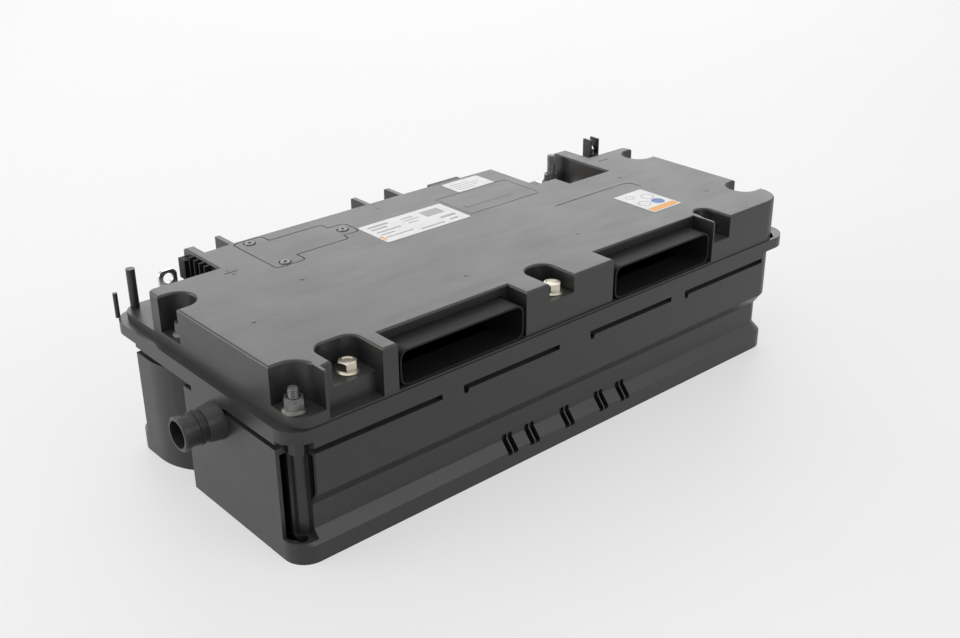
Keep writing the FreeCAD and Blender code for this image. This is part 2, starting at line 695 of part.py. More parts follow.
def hollow_out(body):
    """The room inside, narrow at the waist and under the rim."""
    wall = size.wall
    narrow = size.waist_inset + wall
    low = chamfered(left + wall, right - narrow, front + narrow, rear - narrow, size.case_round - narrow)
    high = chamfered(left + wall, right - wall, front + wall, rear - wall, size.case_round - wall)
    rim_low = deck - size.rim_depth
    rim = size.rim_width
    cut(body, "lower_room", "Z", size.floor_thickness, size.waist_high, low)
    taper(body, "ledge_room", "Z", size.waist_high, low, size.ledge_height, high, "SubtractiveLoft")
    cut(body, "upper_room", "Z", size.ledge_height, rim_low, high)
    mouth = chamfered(left + rim, right - rim, front + rim, rear - rim, size.case_round - wall)
    cut(body, "mouth", "Z", rim_low, deck, mouth)


def add_left_end(body):
    """The left wall's scoop, and a notch with a rounded post over the foot's ear at each corner."""
    wall = size.wall
    start = front + size.scoop_from_front
    x = left + size.scoop_radius
    y = start + size.scoop_radius
    inner = size.scoop_radius - wall
    scoop_wall = path((left + 1, y), (left + 1, start - wall), (x + wall, start - wall),
                      (x + wall, start + wall), (x, start + wall, -inner), (left + wall, y))
    scoop = path((left - 1, y), (left - 1, start), (x, start, -size.scoop_radius), (left, y))
    under_flange = deck - size.flange_thickness
    side = size.notch_side
    corners, notches, posts = [], [], []
    for edge, inward in ((front, 1), (rear, -1)):

        def span(near, far):
            ends = (edge + inward * Length.of(near), edge + inward * Length.of(far))
            return ends if inward > 0 else ends[::-1]

        outer = size.case_round / 2
        corners.append(rectangle(left + outer, left + side + wall, *span(outer, side + wall)))
        notches.append(rectangle(left - 1, left + side, *span(-1, side)))
        rounds = [size.post_round, None, None, None]
        posts.append(rectangle(left + size.notch_step, left + side + wall,
                               *span(size.notch_step, side + wall), *rounds[::inward]))
    add(body, "left_walls", "Z", size.floor_thickness - 1, deck - size.rim_depth + 1, scoop_wall, *corners)
    cut(body, "scoop", "Z", -1, size.scoop_top, scoop)
    cut(body, "corner_notches", "Z", size.ear_height, under_flange, *notches)
    add(body, "corner_posts", "Z", size.ear_height - 1, under_flange + 1, *posts)


def add_right_end(body):
    """Recesses that open to the right over two mounting holes, and all four of those holes."""
    reach = size.right_recess_radius
    room = reach + size.wall
    surrounds = [rectangle(x - room, right - size.waist_inset - 1, y - room, y + room)
                 for x, y in right_holes]
    recesses = [chamfered(x - reach, right + reach, y - reach, y + reach, reach) for x, y in right_holes]
    holes = [circle(x, y, size.ear_hole_radius) for x, y in left_holes + right_holes]
    add(body, "recess_walls", "Z", size.floor_thickness - 1, size.ledge_height, *surrounds)
    cut(body, "recesses", "Z", size.ear_height, size.ledge_height - size.wall, *recesses)
    cut(body, "mounting_holes", "Z", -1, size.ear_height + 1, *holes)


def add_gas_pipe(body):
    """The gas vent pipe on the left wall: a tapering root, a bead, an end collar and a bore."""
    y = front + size.pipe_from_front
    z = size.pipe_height
    tip = left - size.pipe_length
    shoulder = left - size.pipe_root_length
    radius = size.pipe_radius
    thick = radius + size.pipe_bead
    profile = path((tip, 0), (left + 1, 0), (left + 1, size.pipe_root_radius), (left, size.pipe_root_radius),
                   (shoulder, radius + 1), (shoulder, radius), (shoulder - 3, radius), (shoulder - 3, thick),
                   (shoulder - 6, thick), (shoulder - 6, radius), (tip + 5, radius), (tip + 5, thick),
                   (tip + 1.2, thick), (tip, radius))
    turn(body, "gas_pipe", y, z, profile)
    cut(body, "pipe_bore", "X", tip - 1, left + size.rim_width + 1, circle(y, z, size.pipe_bore_radius))


def add_flange_bosses(body):
    """Bosses for the cover's bolts and studs, their insert holes, the seal's groove and a pin."""
    radius = size.boss_radius
    webs = [rectangle(x - radius, x + radius, front + size.wall, y + radius) for x, y in front_bolts]
    rear_bosses = [polygon(x, y, radius) for x, y in rear_bolts]
    add(body, "bolt_bosses", "Z", deck - size.rim_depth, deck, *webs, *rear_bosses)
    add(body, "stud_bosses", "Z", deck - size.rim_depth, deck,
        *[polygon(x, y, radius) for x, y in end_studs])
    floor_bosses = [polygon(x, y, size.stack_boss_radius) for x, y in stack_bolts + relay_bolts]
    add(body, "floor_bosses", "Z", size.floor_thickness - 1, stack_seat, *floor_bosses)
    add(body, "pin", "Z", deck - 1, deck + size.pin_height,
        polygon(left + size.pin_x, size.pin_y, size.pin_radius, SHOWN_SIDES))
    for name, places in (("bolt_inserts", front_bolts + rear_bolts), ("stud_inserts", end_studs)):
        cut(body, name, "Z", deck - size.insert_length, deck + 1,
            *[polygon(x, y, size.insert_radius) for x, y in places])
    screw_holes = [polygon(x, y, size.small_bolt_radius + size.close_fit)
                   for x, y in stack_bolts + relay_bolts]
    cut(body, "screw_holes", "Z", size.floor_thickness / 2, stack_seat + 1, *screw_holes)
    cut(body, "seal_groove", "Z", deck - size.seal_depth, deck + 1, *seal_loops())


def add_front_grooves(body):
    """Grooves under the flange, most with a hook at the left, and the pockets in the front foot."""
    high = size.slot_top
    low = high - size.slot_height
    hook = low - size.slot_hook
    starts = numbered_sizes("groove_{}_start", 4)
    ends = numbered_sizes("groove_{}_end", 4)
    grooves = [rectangle(left + starts[0], left + ends[0], low, high)]
    for start, end in zip(starts[1:], ends[1:]):
        x1 = left + start
        grooves.append(path((x1, low), (x1 + 1, hook), (x1 + 4, hook), (x1 + 5, low), (left + end, low),
                            (left + end, high), (x1, high)))
    cut(body, "front_grooves", "Y", front, front + size.slot_depth, *grooves)
    side_grooves = [rectangle(front + start, front + end, low + size.side_groove_raise,
                              high + size.side_groove_raise)
                    for start, end in zip(numbered_sizes("side_groove_{}_start", 2),
                                          numbered_sizes("side_groove_{}_end", 2))]
    cut(body, "left_grooves", "X", left, left + size.slot_depth, *side_grooves)
    half = size.pocket_width / 2
    web = size.pocket_web / 2
    pockets = [rectangle(left + place + start, left + place + end, size.pocket_low, size.pocket_high)
               for place in numbered_sizes("pocket_{}", 5)
               for start, end in ((-half, -web), (web, half))]
    cut(body, "foot_pockets", "Y", front, front + size.pocket_depth, *pockets)


def seal_loops():
    """The outer and inner line of the seal, which runs round outside the front and end bolts."""
    inset = size.seal_inset
    width = size.seal_width
    edge = (cover_left + inset, cover_right - inset, cover_front + inset, rear + size.seal_rear)
    radius = size.dome_round_left - inset
    outer = chamfered(*edge, radius)
    inner = chamfered(edge[0] + width, edge[1] - width, edge[2] + width, edge[3] - width, radius - width)
    return outer, inner


# Top cover

def front_corners():
    """The cover's front from left to right: it steps back at the two ports and two panels."""
    ports_back = cover_front + size.port_depth
    middle = cover_front + size.middle_panel_step
    port_1, port_2 = (start for _, start in ports)
    panel = cover_front + size.panel_step
    return (
        (cover_left, cover_front, size.dome_round_left),
        (left + size.panel_left, cover_front), (left + size.panel_left, panel),
        (left + size.panel_right, panel), (left + size.panel_right, cover_front),
        (port_1, cover_front), (port_1, ports_back),
        (port_1 + size.port_width, ports_back), (port_1 + size.port_width, middle),
        (port_2, middle), (port_2, ports_back),
        (port_2 + size.port_width, ports_back), (port_2 + size.port_width, cover_front),
        (cover_right, cover_front, size.dome_round_right),
    )


def dome_corners():
    """The raised part of the cover from above."""
    bay_left = left + size.bay_left
    bay_right = left + size.bay_right
    bay_rear = dome_rear + size.bay_depth
    pocket_left = left + size.negative_pocket_left
    pocket_right = left + size.negative_pocket_right
    bar_right = pocket_right + size.negative_bar_width
    return (
        *front_corners(),
        (cover_right, size.right_wing_end, size.small_round),
        (bar_right, size.right_wing_end), (bar_right, size.negative_bar_end),
        (pocket_right, size.negative_bar_end), (pocket_right, size.negative_pocket_front),
        (pocket_left, size.negative_pocket_front), (pocket_left, dome_rear - size.low_corner_depth),
        (bay_right, dome_rear - size.low_corner_depth), (bay_right, bay_rear),
        (bay_left, bay_rear), (bay_left, dome_rear),
        (cover_left, dome_rear, size.small_round),
    )


def service_corners(grow=0.0):
    """The service cover from above: a left strip, a middle band and a lug at the right."""
    x = [left + length for length in (size.service_left, size.service_strip, size.service_lug,
                                      size.service_right)]
    y = [size.service_front, size.service_band_front, size.service_lug_front, size.service_lug_rear,
         size.service_band_rear, size.service_rear]
    r = size.service_round
    corners = ((x[0], y[0], r), (x[1], y[0], r), (x[1], y[1]), (x[2], y[1], r), (x[2], y[2]),
               (x[3], y[2], r), (x[3], y[3], r), (x[2], y[3]), (x[2], y[4], r), (x[1], y[4]),
               (x[1], y[5], r), (x[0], y[5], r))
    return blocks(*corners, inset=-Length.of(grow))


def make_top_cover():
    """The moulded cover: low margin, raised part, fins, ports, bolt notches and terminal shields."""
    body = new_body("top_cover")
    rounds = (size.dome_round_left, size.dome_round_right, size.dome_round_right, size.dome_round_left)
    add(body, "sill", "Z", deck, deck + size.port_sill,
        rectangle(cover_left, cover_right, cover_front, cover_rear, *rounds))
    add(body, "skirt", "Z", deck + size.port_sill, skirt_top,
        blocks(*front_corners(), (cover_right, cover_rear, size.dome_round_right),
               (cover_left, cover_rear, size.dome_round_left)))
    add(body, "dome", "Z", skirt_top, cover_top, blocks(*dome_corners()))
    add_fins(body)
    hollow_cover(body)
    add_notches(body)
    add_cover_openings(body)
    add_terminal_rooms(body)
    return body


def add_fins(body):
    """Upright fins behind the service bay and the wall beside the positive terminal."""
    half = size.fin_thickness / 2
    bay_rear = dome_rear + size.bay_depth
    fins = [rectangle(left + place - half, left + place + half, bay_rear - 2, size.fin_reach)
            for place in (size.fin_left, size.fin_middle, size.fin_right)]
    bay_left = left + size.bay_left
    shield = rectangle(bay_left - size.positive_bar_width, bay_left + 1, dome_rear - 1, size.shield_reach)
    add(body, "fins", "Z", deck + 2, cover_top, *fins, shield)


def hollow_cover(body):
    """The room under the raised part, at one wall's distance from its outline."""
    cut(body, "room", "Z", deck, cover_top - size.cover_wall, blocks(*dome_corners(), inset=size.cover_wall))


def front_notches():
    """Left side, right side and rear of the three notches over the front bolts."""
    bolt_x, bolt_y = front_bolts[2]
    radius = size.notch_3_radius
    back = front + size.notch_back
    port_end = left + size.port_right_start + size.port_width
    return ((left + size.notch_1_start, left + size.notch_1_end, back),
            (left + size.notch_2_start, left + size.notch_2_end, back),
            (port_end + size.thin_wall, bolt_x + radius, bolt_y + radius))


def add_notches(body):
    """Blocks round every fastener, then the notches and limiter holes in them."""
    wall = size.cover_wall
    fronts = (cover_front + size.panel_step + 1, cover_front + size.middle_panel_step + 1, cover_front + 1)
    walls = [rectangle(x1 - room, x2 + wall, block_front, back + wall)
             for (x1, x2, back), block_front, room in zip(front_notches(), fronts,
                                                          (wall, wall, size.thin_wall / 2))]
    niche = size.corner_niche_radius
    walls.append(rectangle(cover_left + 1, corner_stud[0] + niche + wall / 2, cover_front + 1,
                           corner_stud[1] + niche + wall, size.dome_round_left - 1, None, None, None))
    half = size.end_notch_half
    depth = size.end_notch_depth
    walls.append(rectangle(cover_left + 1, cover_left + depth + wall, left_stud[1] - half - wall,
                           left_stud[1] + half + wall))
    walls += [rectangle(cover_right - depth - wall, cover_right - 1, y - half - wall, y + half + wall)
              for _, y in right_studs]
    add(body, "notch_walls", "Z", deck, cover_top, *walls)
    start = cover_front - 1
    r = size.notch_round
    for number, ((x1, x2, back), seat) in enumerate(zip(front_notches()[:2], front_seats), start=1):
        cut(body, f"notch_{number}", "Z", seat, cover_top + 1, rectangle(x1, x2, start, back, None, None, r, r))
    x, y = front_bolts[2]
    r = size.notch_3_radius
    x1 = front_notches()[2][0]
    cut(body, "notch_3", "Z", front_seats[2], cover_top + 1,
        path((x1, start), (x + r, start), (x + r, y, r), (x, y + r, r), (x - r, y), (x1, y - r)))
    x, y = corner_stud
    niches = [path((cover_left - 3, cover_front - 3), (x + niche, cover_front - 3), (x + niche, y, niche),
                   (x, y + niche), (cover_left - 3, y + niche))]
    r = half - 1
    y = left_stud[1]
    niches.append(rectangle(cover_left - 3, cover_left + depth, y - half, y + half, None, r, r, None))
    niches += [rectangle(cover_right - depth, cover_right + 3, y - half, y + half, r, None, None, r)
               for _, y in right_studs]
    cut(body, "end_notches", "Z", niche_seat, cover_top + 1, *niches)
    for name, places in (("bolt_limiters", front_bolts + rear_bolts), ("stud_limiters", end_studs)):
        cut(body, name, "Z", deck - 1, cover_top + 1,
            *[polygon(x, y, size.limiter_radius + size.close_fit) for x, y in places])


def add_cover_openings(body):
    """Holes for the air sleeves, the service opening and the posts that hold the board."""
    back = cover_front + size.port_depth
    sleeves = [chamfered(*sleeve_edges(start, size.sleeve_fit), size.sleeve_round) for _, start in ports]
    cut(body, "sleeve_holes", "Y", back - 1, back + size.cover_wall + 1, *sleeves)
    rim = rectangle(left + size.service_left - 2, left + size.service_right + 2,
                    size.service_front - 2, size.service_rear + 1)
    add(body, "service_rim", "Z", cover_top - size.service_pad, cover_top - size.cover_wall / 2, rim)
    cut(body, "service_seat", "Z", cover_top - size.service_plate, cover_top + 1,
        service_corners(size.service_gap))
    x1 = left + size.service_left
    opening = rectangle(x1 + 20, left + size.service_lug - 5, size.service_band_front + 3,
                        size.service_band_rear - 3)
    cut(body, "service_opening", "Z", cover_top - size.service_pad - 1, cover_top + 1, opening)
    cut(body, "service_screw_holes", "Z", cover_top - size.service_pad - 1, cover_top + 1,
        *[polygon(x, y, size.service_screw_radius + size.close_fit) for x, y in service_screws])
    x1, x2, z1, z2 = socket_edges()
    gap = size.sleeve_fit
    bay_rear = dome_rear + size.bay_depth
    cut(body, "socket_hole", "Y", bay_rear - size.cover_wall - 1, bay_rear + 1,
        rectangle(x1 - gap, x2 + gap, z1 - gap, z2 + gap))
    posts = [polygon(x, y, size.board_post_radius) for x, y in board_screws]
    add(body, "board_posts", "Z", board_top, cover_top - size.cover_wall / 2, *posts)
    holes = [polygon(x, y, size.board_screw_radius) for x, y in board_screws]
    cut(body, "board_screw_holes", "Z", board_top - 1, board_top + 8, *holes)


def add_terminal_rooms(body):
    """The negative terminal's pocket floor, bus slots, the positive terminal's block and the post."""
    pocket_left = left + size.negative_pocket_left
    pocket_right = left + size.negative_pocket_right
    bay_rear = dome_rear + size.bay_depth
    floor = deck + size.pocket_floor
    wall = size.cover_wall
    add(body, "pocket_floor", "Z", deck + 2, floor,
        rectangle(pocket_left - 1, pocket_right + 1, size.negative_pocket_front - 1, bay_rear))
    add(body, "positive_block", "Z", deck + 2, bus_level,
        rectangle(positive_x - bus_half - 2, positive_x + bus_half + 2, dome_rear - 1,
                  size.positive_terminal_y - size.busbar_thickness))
    gap = size.sleeve_fit
    low, high = bus_level - gap, bus_level + size.bus_thickness + gap
    slots = [rectangle(negative_x - bus_half - gap, negative_x + bus_half + gap, low, high)]
    cut(body, "negative_slot", "Y", size.negative_pocket_front - wall - 1, size.negative_pocket_front, *slots)
    slots = [rectangle(positive_x - bus_half - gap, positive_x + bus_half + gap, low, high)]
    cut(body, "positive_slot", "Y", dome_rear - wall - 1, dome_rear, *slots)
    stud_hole = polygon(negative_x, size.terminal_y, size.terminal_radius + size.close_fit, SHOWN_SIDES)
    cut(body, "stud_hole", "Z", bus_level - 5, bus_level + 1, stud_hole)
    x, y = left + size.post_x, size.post_y
    add(body, "tall_post", "Z", deck + 2, skirt_top + size.post_height, circle(x, y, size.post_radius))


def socket_edges():
    """Left, right, lower and upper edge of the signal socket, which stands on the board."""
    x1 = left + size.socket_x
    return x1, x1 + size.socket_width, board_top, board_top + size.socket_height


def sleeve_edges(start, grow=0.0):
    """Left, right, lower and upper edge of an air sleeve, from its recess's left side."""
    x1 = start + size.sleeve_gap
    x2 = start + size.port_width - size.sleeve_gap
    z1 = deck + size.port_sill
    z2 = z1 + size.sleeve_height
    return x1 - grow, x2 + grow, z1 - grow, z2 + grow


# Places of the pieces inside

stack_left = left + size.stack_start
pitch = size.cell_thickness + size.cell_gap
cells = int(sheet.get("cell_count"))
stack_right = stack_left + pitch * cells - size.cell_gap
cell_low = size.floor_thickness + size.cell_pad_thickness
cell_top = cell_low + size.cell_height
post_top = cell_top + size.cell_post
half_cell = size.cell_width / 2
stack_seat = size.floor_thickness + size.stack_boss_height
bracket_reach = size.end_plate_thickness + size.bracket_length / 2
stack_bolts = [(x, side * size.stack_bolt_spacing / 2) for side in (-1, 1)
               for x in (stack_left - bracket_reach, stack_right + bracket_reach)]
relay_x = left + size.relay_x
relay_y = front + size.relay_y
relay_bolts = [(relay_x, relay_y + side * size.relay_ear_reach) for side in (-1, 1)]
bus_level = deck + size.pocket_floor
relay_posts = (("low", relay_x + size.relay_post_spacing / 2, post_top),
               ("high", relay_x - size.relay_post_spacing / 2, bus_level))
fuse_y = size.fuse_y
fuse_studs = [(left + size.fuse_x + side * size.fuse_spacing / 2, fuse_y) for side in (-1, 1)]
duct_end = stack_right - size.duct_end_gap
clip_place = (left + size.clip_x, size.clip_y)
service_screws = [(left + size.service_left + 11.5, size.service_rear - 7),
                  (left + size.service_left + 11.5, size.service_front + 6),
                  (left + size.service_right - 9, size.service_lug_front + 11)]
bus_half = size.bus_width / 2
negative_x = left + size.terminal_x
positive_x = left + size.positive_terminal_x
board_top = cover_top - size.cover_wall - size.board_clearance
board_left = left + size.board_x
board_front = size.board_y
board_screws = [(board_left + across, board_front + up)
                for across in (size.board_screw_inset, size.board_length - size.board_screw_inset)
                for up in (size.board_screw_inset, size.board_width - size.board_screw_inset)]


# Pieces fitted to the case and the cover

def make_sleeve(name, start):
    """One air sleeve: a flat duct from the front recess to an outlet in its floor."""
    body = new_body(f"air_sleeve_{name}")
    x1, x2, z1, z2 = sleeve_edges(start)
    y1 = cover_front + size.sleeve_setback
    y2 = y1 + size.sleeve_length
    wall = size.sleeve_wall
    outlet_start = cover_front + size.port_depth + size.cover_wall + 3
    add(body, "tube", "Y", y1, y2, rectangle(x1, x2, z1, z2, size.sleeve_round))
    cut(body, "duct", "Y", y1 - 1, y2 - wall,
        rectangle(x1 + wall, x2 - wall, z1 + wall, z2 - wall, size.sleeve_round - wall))
    cut(body, "outlet", "Z", z1 - 1, z1 + wall + 1,
        rectangle(x1 + size.sleeve_round, x2 - size.sleeve_round, outlet_start, y2 - 2 * wall))
    return body


def make_service_cover():
    """The plate over the main fuse, with counterbored screw holes."""
    body = new_body("service_cover")
    plate_low = cover_top - size.service_plate
    add(body, "plate", "Z", plate_low, cover_top, service_corners())
    bores = [polygon(x, y, size.service_head_radius + 1, SHOWN_SIDES) for x, y in service_screws]
    cut(body, "counterbores", "Z", cover_top - size.service_plate / 2, cover_top + 1, *bores)
    holes = [polygon(x, y, size.service_screw_radius + size.close_fit) for x, y in service_screws]
    cut(body, "screw_holes", "Z", plate_low - 1, cover_top + 1, *holes)
    return body


def make_seal():
    """The seal in the case's groove."""
    body = new_body("cover_seal")
    add(body, "ring", "Z", deck - size.seal_depth, deck, *seal_loops())
    return body


def make_label(name):
    """An adhesive label on the cover, its place and sides from the cells that bear its name."""
    x, y, length, width = [getattr(size, f"{name}_{word}") for word in ("x", "y", "length", "width")]
    return box(name, left + x, left + x + length, y, y + width, cover_top, cover_top + size.label_thickness)


def make_harness_clip():
    """The clip that stands on the cover's margin behind the right-hand wing."""
    body = new_body("harness_clip")
    x, y = clip_place
    half = size.clip_width / 2
    depth = size.clip_depth / 2
    low = skirt_top
    add(body, "stem", "Z", low, low + size.clip_stem, rectangle(x - half, x + half, y - depth, y + depth))
    prong = size.clip_prong
    prongs = [rectangle(x - half, x - half + prong, y - depth, y + depth),
              rectangle(x + half - prong, x + half, y - depth, y + depth)]
    add(body, "prongs", "Z", low + size.clip_stem, low + size.clip_height, *prongs)
    hole = polygon(x, y, size.small_bolt_radius + size.close_fit)
    cut(body, "bolt_hole", "Z", low + size.clip_stem / 2, low + size.clip_height, hole)
    return body


def flange_bolt(name, x, y, seat, end):
    """A hexagon bolt with a flange under its head."""
    flange = prism(f"{name}_flange", x, y, seat, seat + size.bolt_flange, size.bolt_flange_radius, SHOWN_SIDES)
    head = hexagon(f"{name}_head", x, y, seat + size.bolt_flange / 2, seat + size.bolt_head, size.bolt_flats)
    shank = prism(f"{name}_shank", x, y, end, seat + size.bolt_flange / 2, size.bolt_radius)
    return fuse(f"{name}_bolt", flange, head, shank)


def plain_bolt(name, x, y, seat, end):
    """A small hexagon bolt."""
    head = hexagon(f"{name}_head", x, y, seat, seat + size.small_bolt_head, size.small_bolt_flats)
    shank = prism(f"{name}_shank", x, y, end, seat + 1, size.small_bolt_radius)
    return fuse(f"{name}_bolt", head, shank)


def flange_nut(name, x, y, seat, height, flats):
    """A hexagon nut with a flange, on a stud of the shown kind."""
    flange = prism(f"{name}_flange", x, y, seat, seat + size.bolt_flange, size.bolt_flange_radius, SHOWN_SIDES)
    body = hexagon(f"{name}_body", x, y, seat + size.bolt_flange / 2, seat + height, flats)
    whole = fuse(f"{name}_whole", flange, body)
    room = size.terminal_radius + size.close_fit
    return minus(f"{name}_nut", whole,
                 prism(f"{name}_bore", x, y, seat - 1, seat + height + 1, room, SHOWN_SIDES))


def plain_nut(name, x, y, seat, height, flats, radius):
    """A hexagon nut without a flange, on a thread of the hidden kind."""
    body = hexagon(f"{name}_body", x, y, seat, seat + height, flats)
    return minus(f"{name}_nut", body,
                 prism(f"{name}_bore", x, y, seat - 1, seat + height + 1, radius + size.close_fit))


def numbered(name, places):
    """Names and places for a row of like pieces."""
    return [(f"{name}_{number}", *place) for number, place in enumerate(places, start=1)]


def make_fasteners():
    """The cover's bolts, studs and nuts, with the limiters and inserts that they pass through."""
    end = deck - size.insert_length + 2
    front_group = [flange_bolt(name, x, y, seat, end)
                   for (name, x, y), seat in zip(numbered("front", front_bolts), front_seats)]
    rear_group = [flange_bolt(name, x, y, skirt_top, end) for name, x, y in numbered("rear", rear_bolts)]
    studs = [prism(name, x, y, end, niche_seat + size.stud_reach, size.bolt_radius, SHOWN_SIDES)
             for name, x, y in numbered("end_stud", end_studs)]
    nuts = [flange_nut(name, x, y, niche_seat, size.end_nut_height, size.bolt_flats)
            for name, x, y in numbered("end_nut", end_studs)]
    tops = front_seats + [skirt_top] * len(rear_bolts) + [niche_seat] * len(end_studs)
    all_places = front_bolts + rear_bolts + end_studs
    limiters = [tube(name, x, y, deck, top, size.limiter_radius, size.clear_hole)
                for (name, x, y), top in zip(numbered("limiter", all_places), tops)]
    inserts = [tube(name, x, y, deck - size.insert_length, deck, size.insert_radius,
                    size.bolt_radius + size.close_fit) for name, x, y in numbered("insert", all_places)]
    screws = []
    seat = cover_top - size.service_plate / 2
    for name, x, y in numbered("service_screw", service_screws):
        cap = prism(f"{name}_head", x, y, seat, cover_top + 0.8, size.service_head_radius, SHOWN_SIDES)
        shank = prism(f"{name}_shank", x, y, cover_top - size.service_screw_length, seat + 0.2,
                      size.service_screw_radius)
        screws.append(fuse(name, cap, shank))
    return [group("front_cover_bolts", front_group), group("rear_cover_bolts", rear_group),
            group("end_studs", studs), group("end_nuts", nuts), group("cover_limiters", limiters),
            group("flange_inserts", inserts), group("service_screws", screws)]


# Pieces inside

def cell_middle(number):
    """The middle of a cell along X, counted from 0."""
    return stack_left + pitch * number + size.cell_thickness / 2


def make_cell(number):
    """One prismatic cell with its two terminal posts."""
    body = new_body(f"cell_{number + 1:02d}")
    x = cell_middle(number)
    half = size.cell_thickness / 2
    add(body, "can", "Z", cell_low, cell_top,
        rectangle(x - half, x + half, -half_cell, half_cell))
    reach = size.busbar_width / 2
    posts = [rectangle(x - reach, x + reach, y - reach, y + reach)
             for y in (-size.cell_post_spacing / 2, size.cell_post_spacing / 2)]
    add(body, "posts", "Z", cell_top, post_top, *posts)
    return body


def make_end_plate(name, face, sign):
    """A pressure plate with a foot that screws down to the floor bosses."""
    body = new_body(f"end_plate_{name}")
    seat = stack_seat
    outer = face + sign * size.end_plate_thickness
    foot = outer + sign * size.bracket_length
    foot_top = seat + size.ear_thickness
    profile = path((face, cell_low), (face, cell_top - 2), (outer, cell_top - 2), (outer, foot_top),
                   (foot, foot_top), (foot, seat), (outer, seat), (outer, cell_low))
    add(body, "plate", "Y", -half_cell, half_cell, profile)
    holes = [bore(x, y, size.small_clear_hole) for x, y in stack_bolts if (x.number > 0) == (sign > 0)]
    cut(body, "screw_holes", "Z", seat - 1, seat + 5, *holes)
    return body


def make_stack():
    """The pieces that hold, space and join the cells."""
    spacers = [box(f"spacer_{number}", cell_middle(number) + size.cell_thickness / 2,
                   cell_middle(number + 1) - size.cell_thickness / 2,
                   1 - half_cell, half_cell - 1, cell_low + 1, cell_top - 1)
               for number in range(cells - 1)]
    pad = box("cell_pad", stack_left, stack_right, 2 - half_cell, half_cell - 2,
              size.floor_thickness, cell_low)
    start = stack_left - size.end_plate_thickness
    end = stack_right + size.end_plate_thickness
    straps = [box(f"strap_{side}_{level}", start, end, y1, y1 + size.strap_thickness, z, z + size.strap_height)
              for side, y1 in (("front", -half_cell - size.strap_thickness), ("rear", half_cell))
              for level, z in (("low", cell_low + 8), ("high", cell_top - 8 - size.strap_height))]
    reach = size.busbar_width / 2
    bars = []
    for number in range(cells - 1):
        y = size.cell_post_spacing / 2 * (1 if number % 2 == 0 else -1)
        bars.append(box(f"busbar_{number}", cell_middle(number) - reach, cell_middle(number + 1) + reach,
                        y - reach, y + reach, post_top, post_top + size.busbar_thickness))
    screws = [plain_bolt(name, x, y, stack_seat + size.ear_thickness, size.floor_thickness + 1)
              for name, x, y in numbered("floor_screw", stack_bolts + relay_bolts)]
    return [group("cell_spacers", spacers), pad, group("side_straps", straps),
            group("cell_busbars", bars), group("floor_screws", screws)]


def make_busbar_frame():
    """The moulded frame on top of the cells, with windows for the posts and the gas duct."""
    body = new_body("busbar_frame")
    half = size.cell_post_spacing / 2
    reach = size.busbar_width / 2 + 2
    outline = rectangle(stack_left, stack_right, -half - reach - 5, half + reach + 5)
    windows = []
    for side in (-1, 1):
        numbers = list(range(0, cells, 2)) if side > 0 else [-1] + list(range(1, cells, 2))
        for number in numbers:
            first = max(number, 0)
            last = min(number + 1, cells - 1)
            windows.append(rectangle(cell_middle(first) - reach, cell_middle(last) + reach,
                                     side * half - reach, side * half + reach))
    add(body, "frame", "Z", cell_top, cell_top + size.frame_thickness, outline, *windows)
    room = size.duct_width / 2 + 2
    cut(body, "duct_room", "Z", cell_top - 1, cell_top + 5,
        rectangle(stack_left - 1, duct_end + 2, -room, room))
    return body


def make_gas_duct():
    """The duct that leads vented gas from the cells to the pipe in the left wall."""
    body = new_body("gas_duct")
    half = size.duct_width / 2
    wall = size.sleeve_wall
    top = cell_top + size.duct_height
    pipe_y = front + size.pipe_from_front
    low = size.pipe_height - size.pipe_radius - 2
    x1 = left + size.rim_width + 1
    x2 = stack_left - size.end_plate_thickness - 4
    y1 = pipe_y - size.pipe_radius - 2
    spigot = size.pipe_bore_radius - size.close_fit
    add(body, "elbow", "X", x1, x2, rectangle(y1, half, low, top))
    add(body, "hood", "X", x2, duct_end, rectangle(-half, half, cell_top, top))
    add(body, "spigot", "X", left + size.wall + 1, x1, polygon(pipe_y, size.pipe_height, spigot, SHOWN_SIDES))
    cut(body, "elbow_room", "X", x1 + wall, x2 - wall, rectangle(y1 + wall, half - wall, low + wall, top - wall))
    cut(body, "hood_room", "X", x2 - wall, duct_end - wall,
        rectangle(wall - half, half - wall, cell_top + wall, top - wall))
    cut(body, "vents", "Z", cell_top - 1, cell_top + wall,
        rectangle(stack_left + 1, duct_end - wall, wall - half, half - wall))
    cut(body, "spigot_bore", "X", left, x1 + wall,
        polygon(pipe_y, size.pipe_height, spigot - wall, SHOWN_SIDES))
    return body


def make_relay():
    """The main relay with its two threaded posts."""
    body = new_body("main_relay")
    half = size.relay_length / 2
    depth = size.relay_width / 2
    top = size.floor_thickness + size.relay_height
    ear = size.relay_ear
    add(body, "ears", "Z", stack_seat, stack_seat + size.ear_thickness,
        rectangle(relay_x - 9, relay_x + 9, relay_y - depth - ear, relay_y + depth + ear))
    add(body, "case", "Z", size.floor_thickness, top,
        rectangle(relay_x - half, relay_x + half, relay_y - depth, relay_y + depth))
    holes = [bore(x, y, size.small_clear_hole) for x, y in relay_bolts]
    cut(body, "ear_holes", "Z", stack_seat - 1, stack_seat + 4, *holes)
    for name, x, level in relay_posts:
        add(body, f"{name}_post", "Z", top, level, polygon(x, relay_y, size.relay_post_radius))
        add(body, f"{name}_thread", "Z", level, level + 9, polygon(x, relay_y, size.small_bolt_radius))
    return body


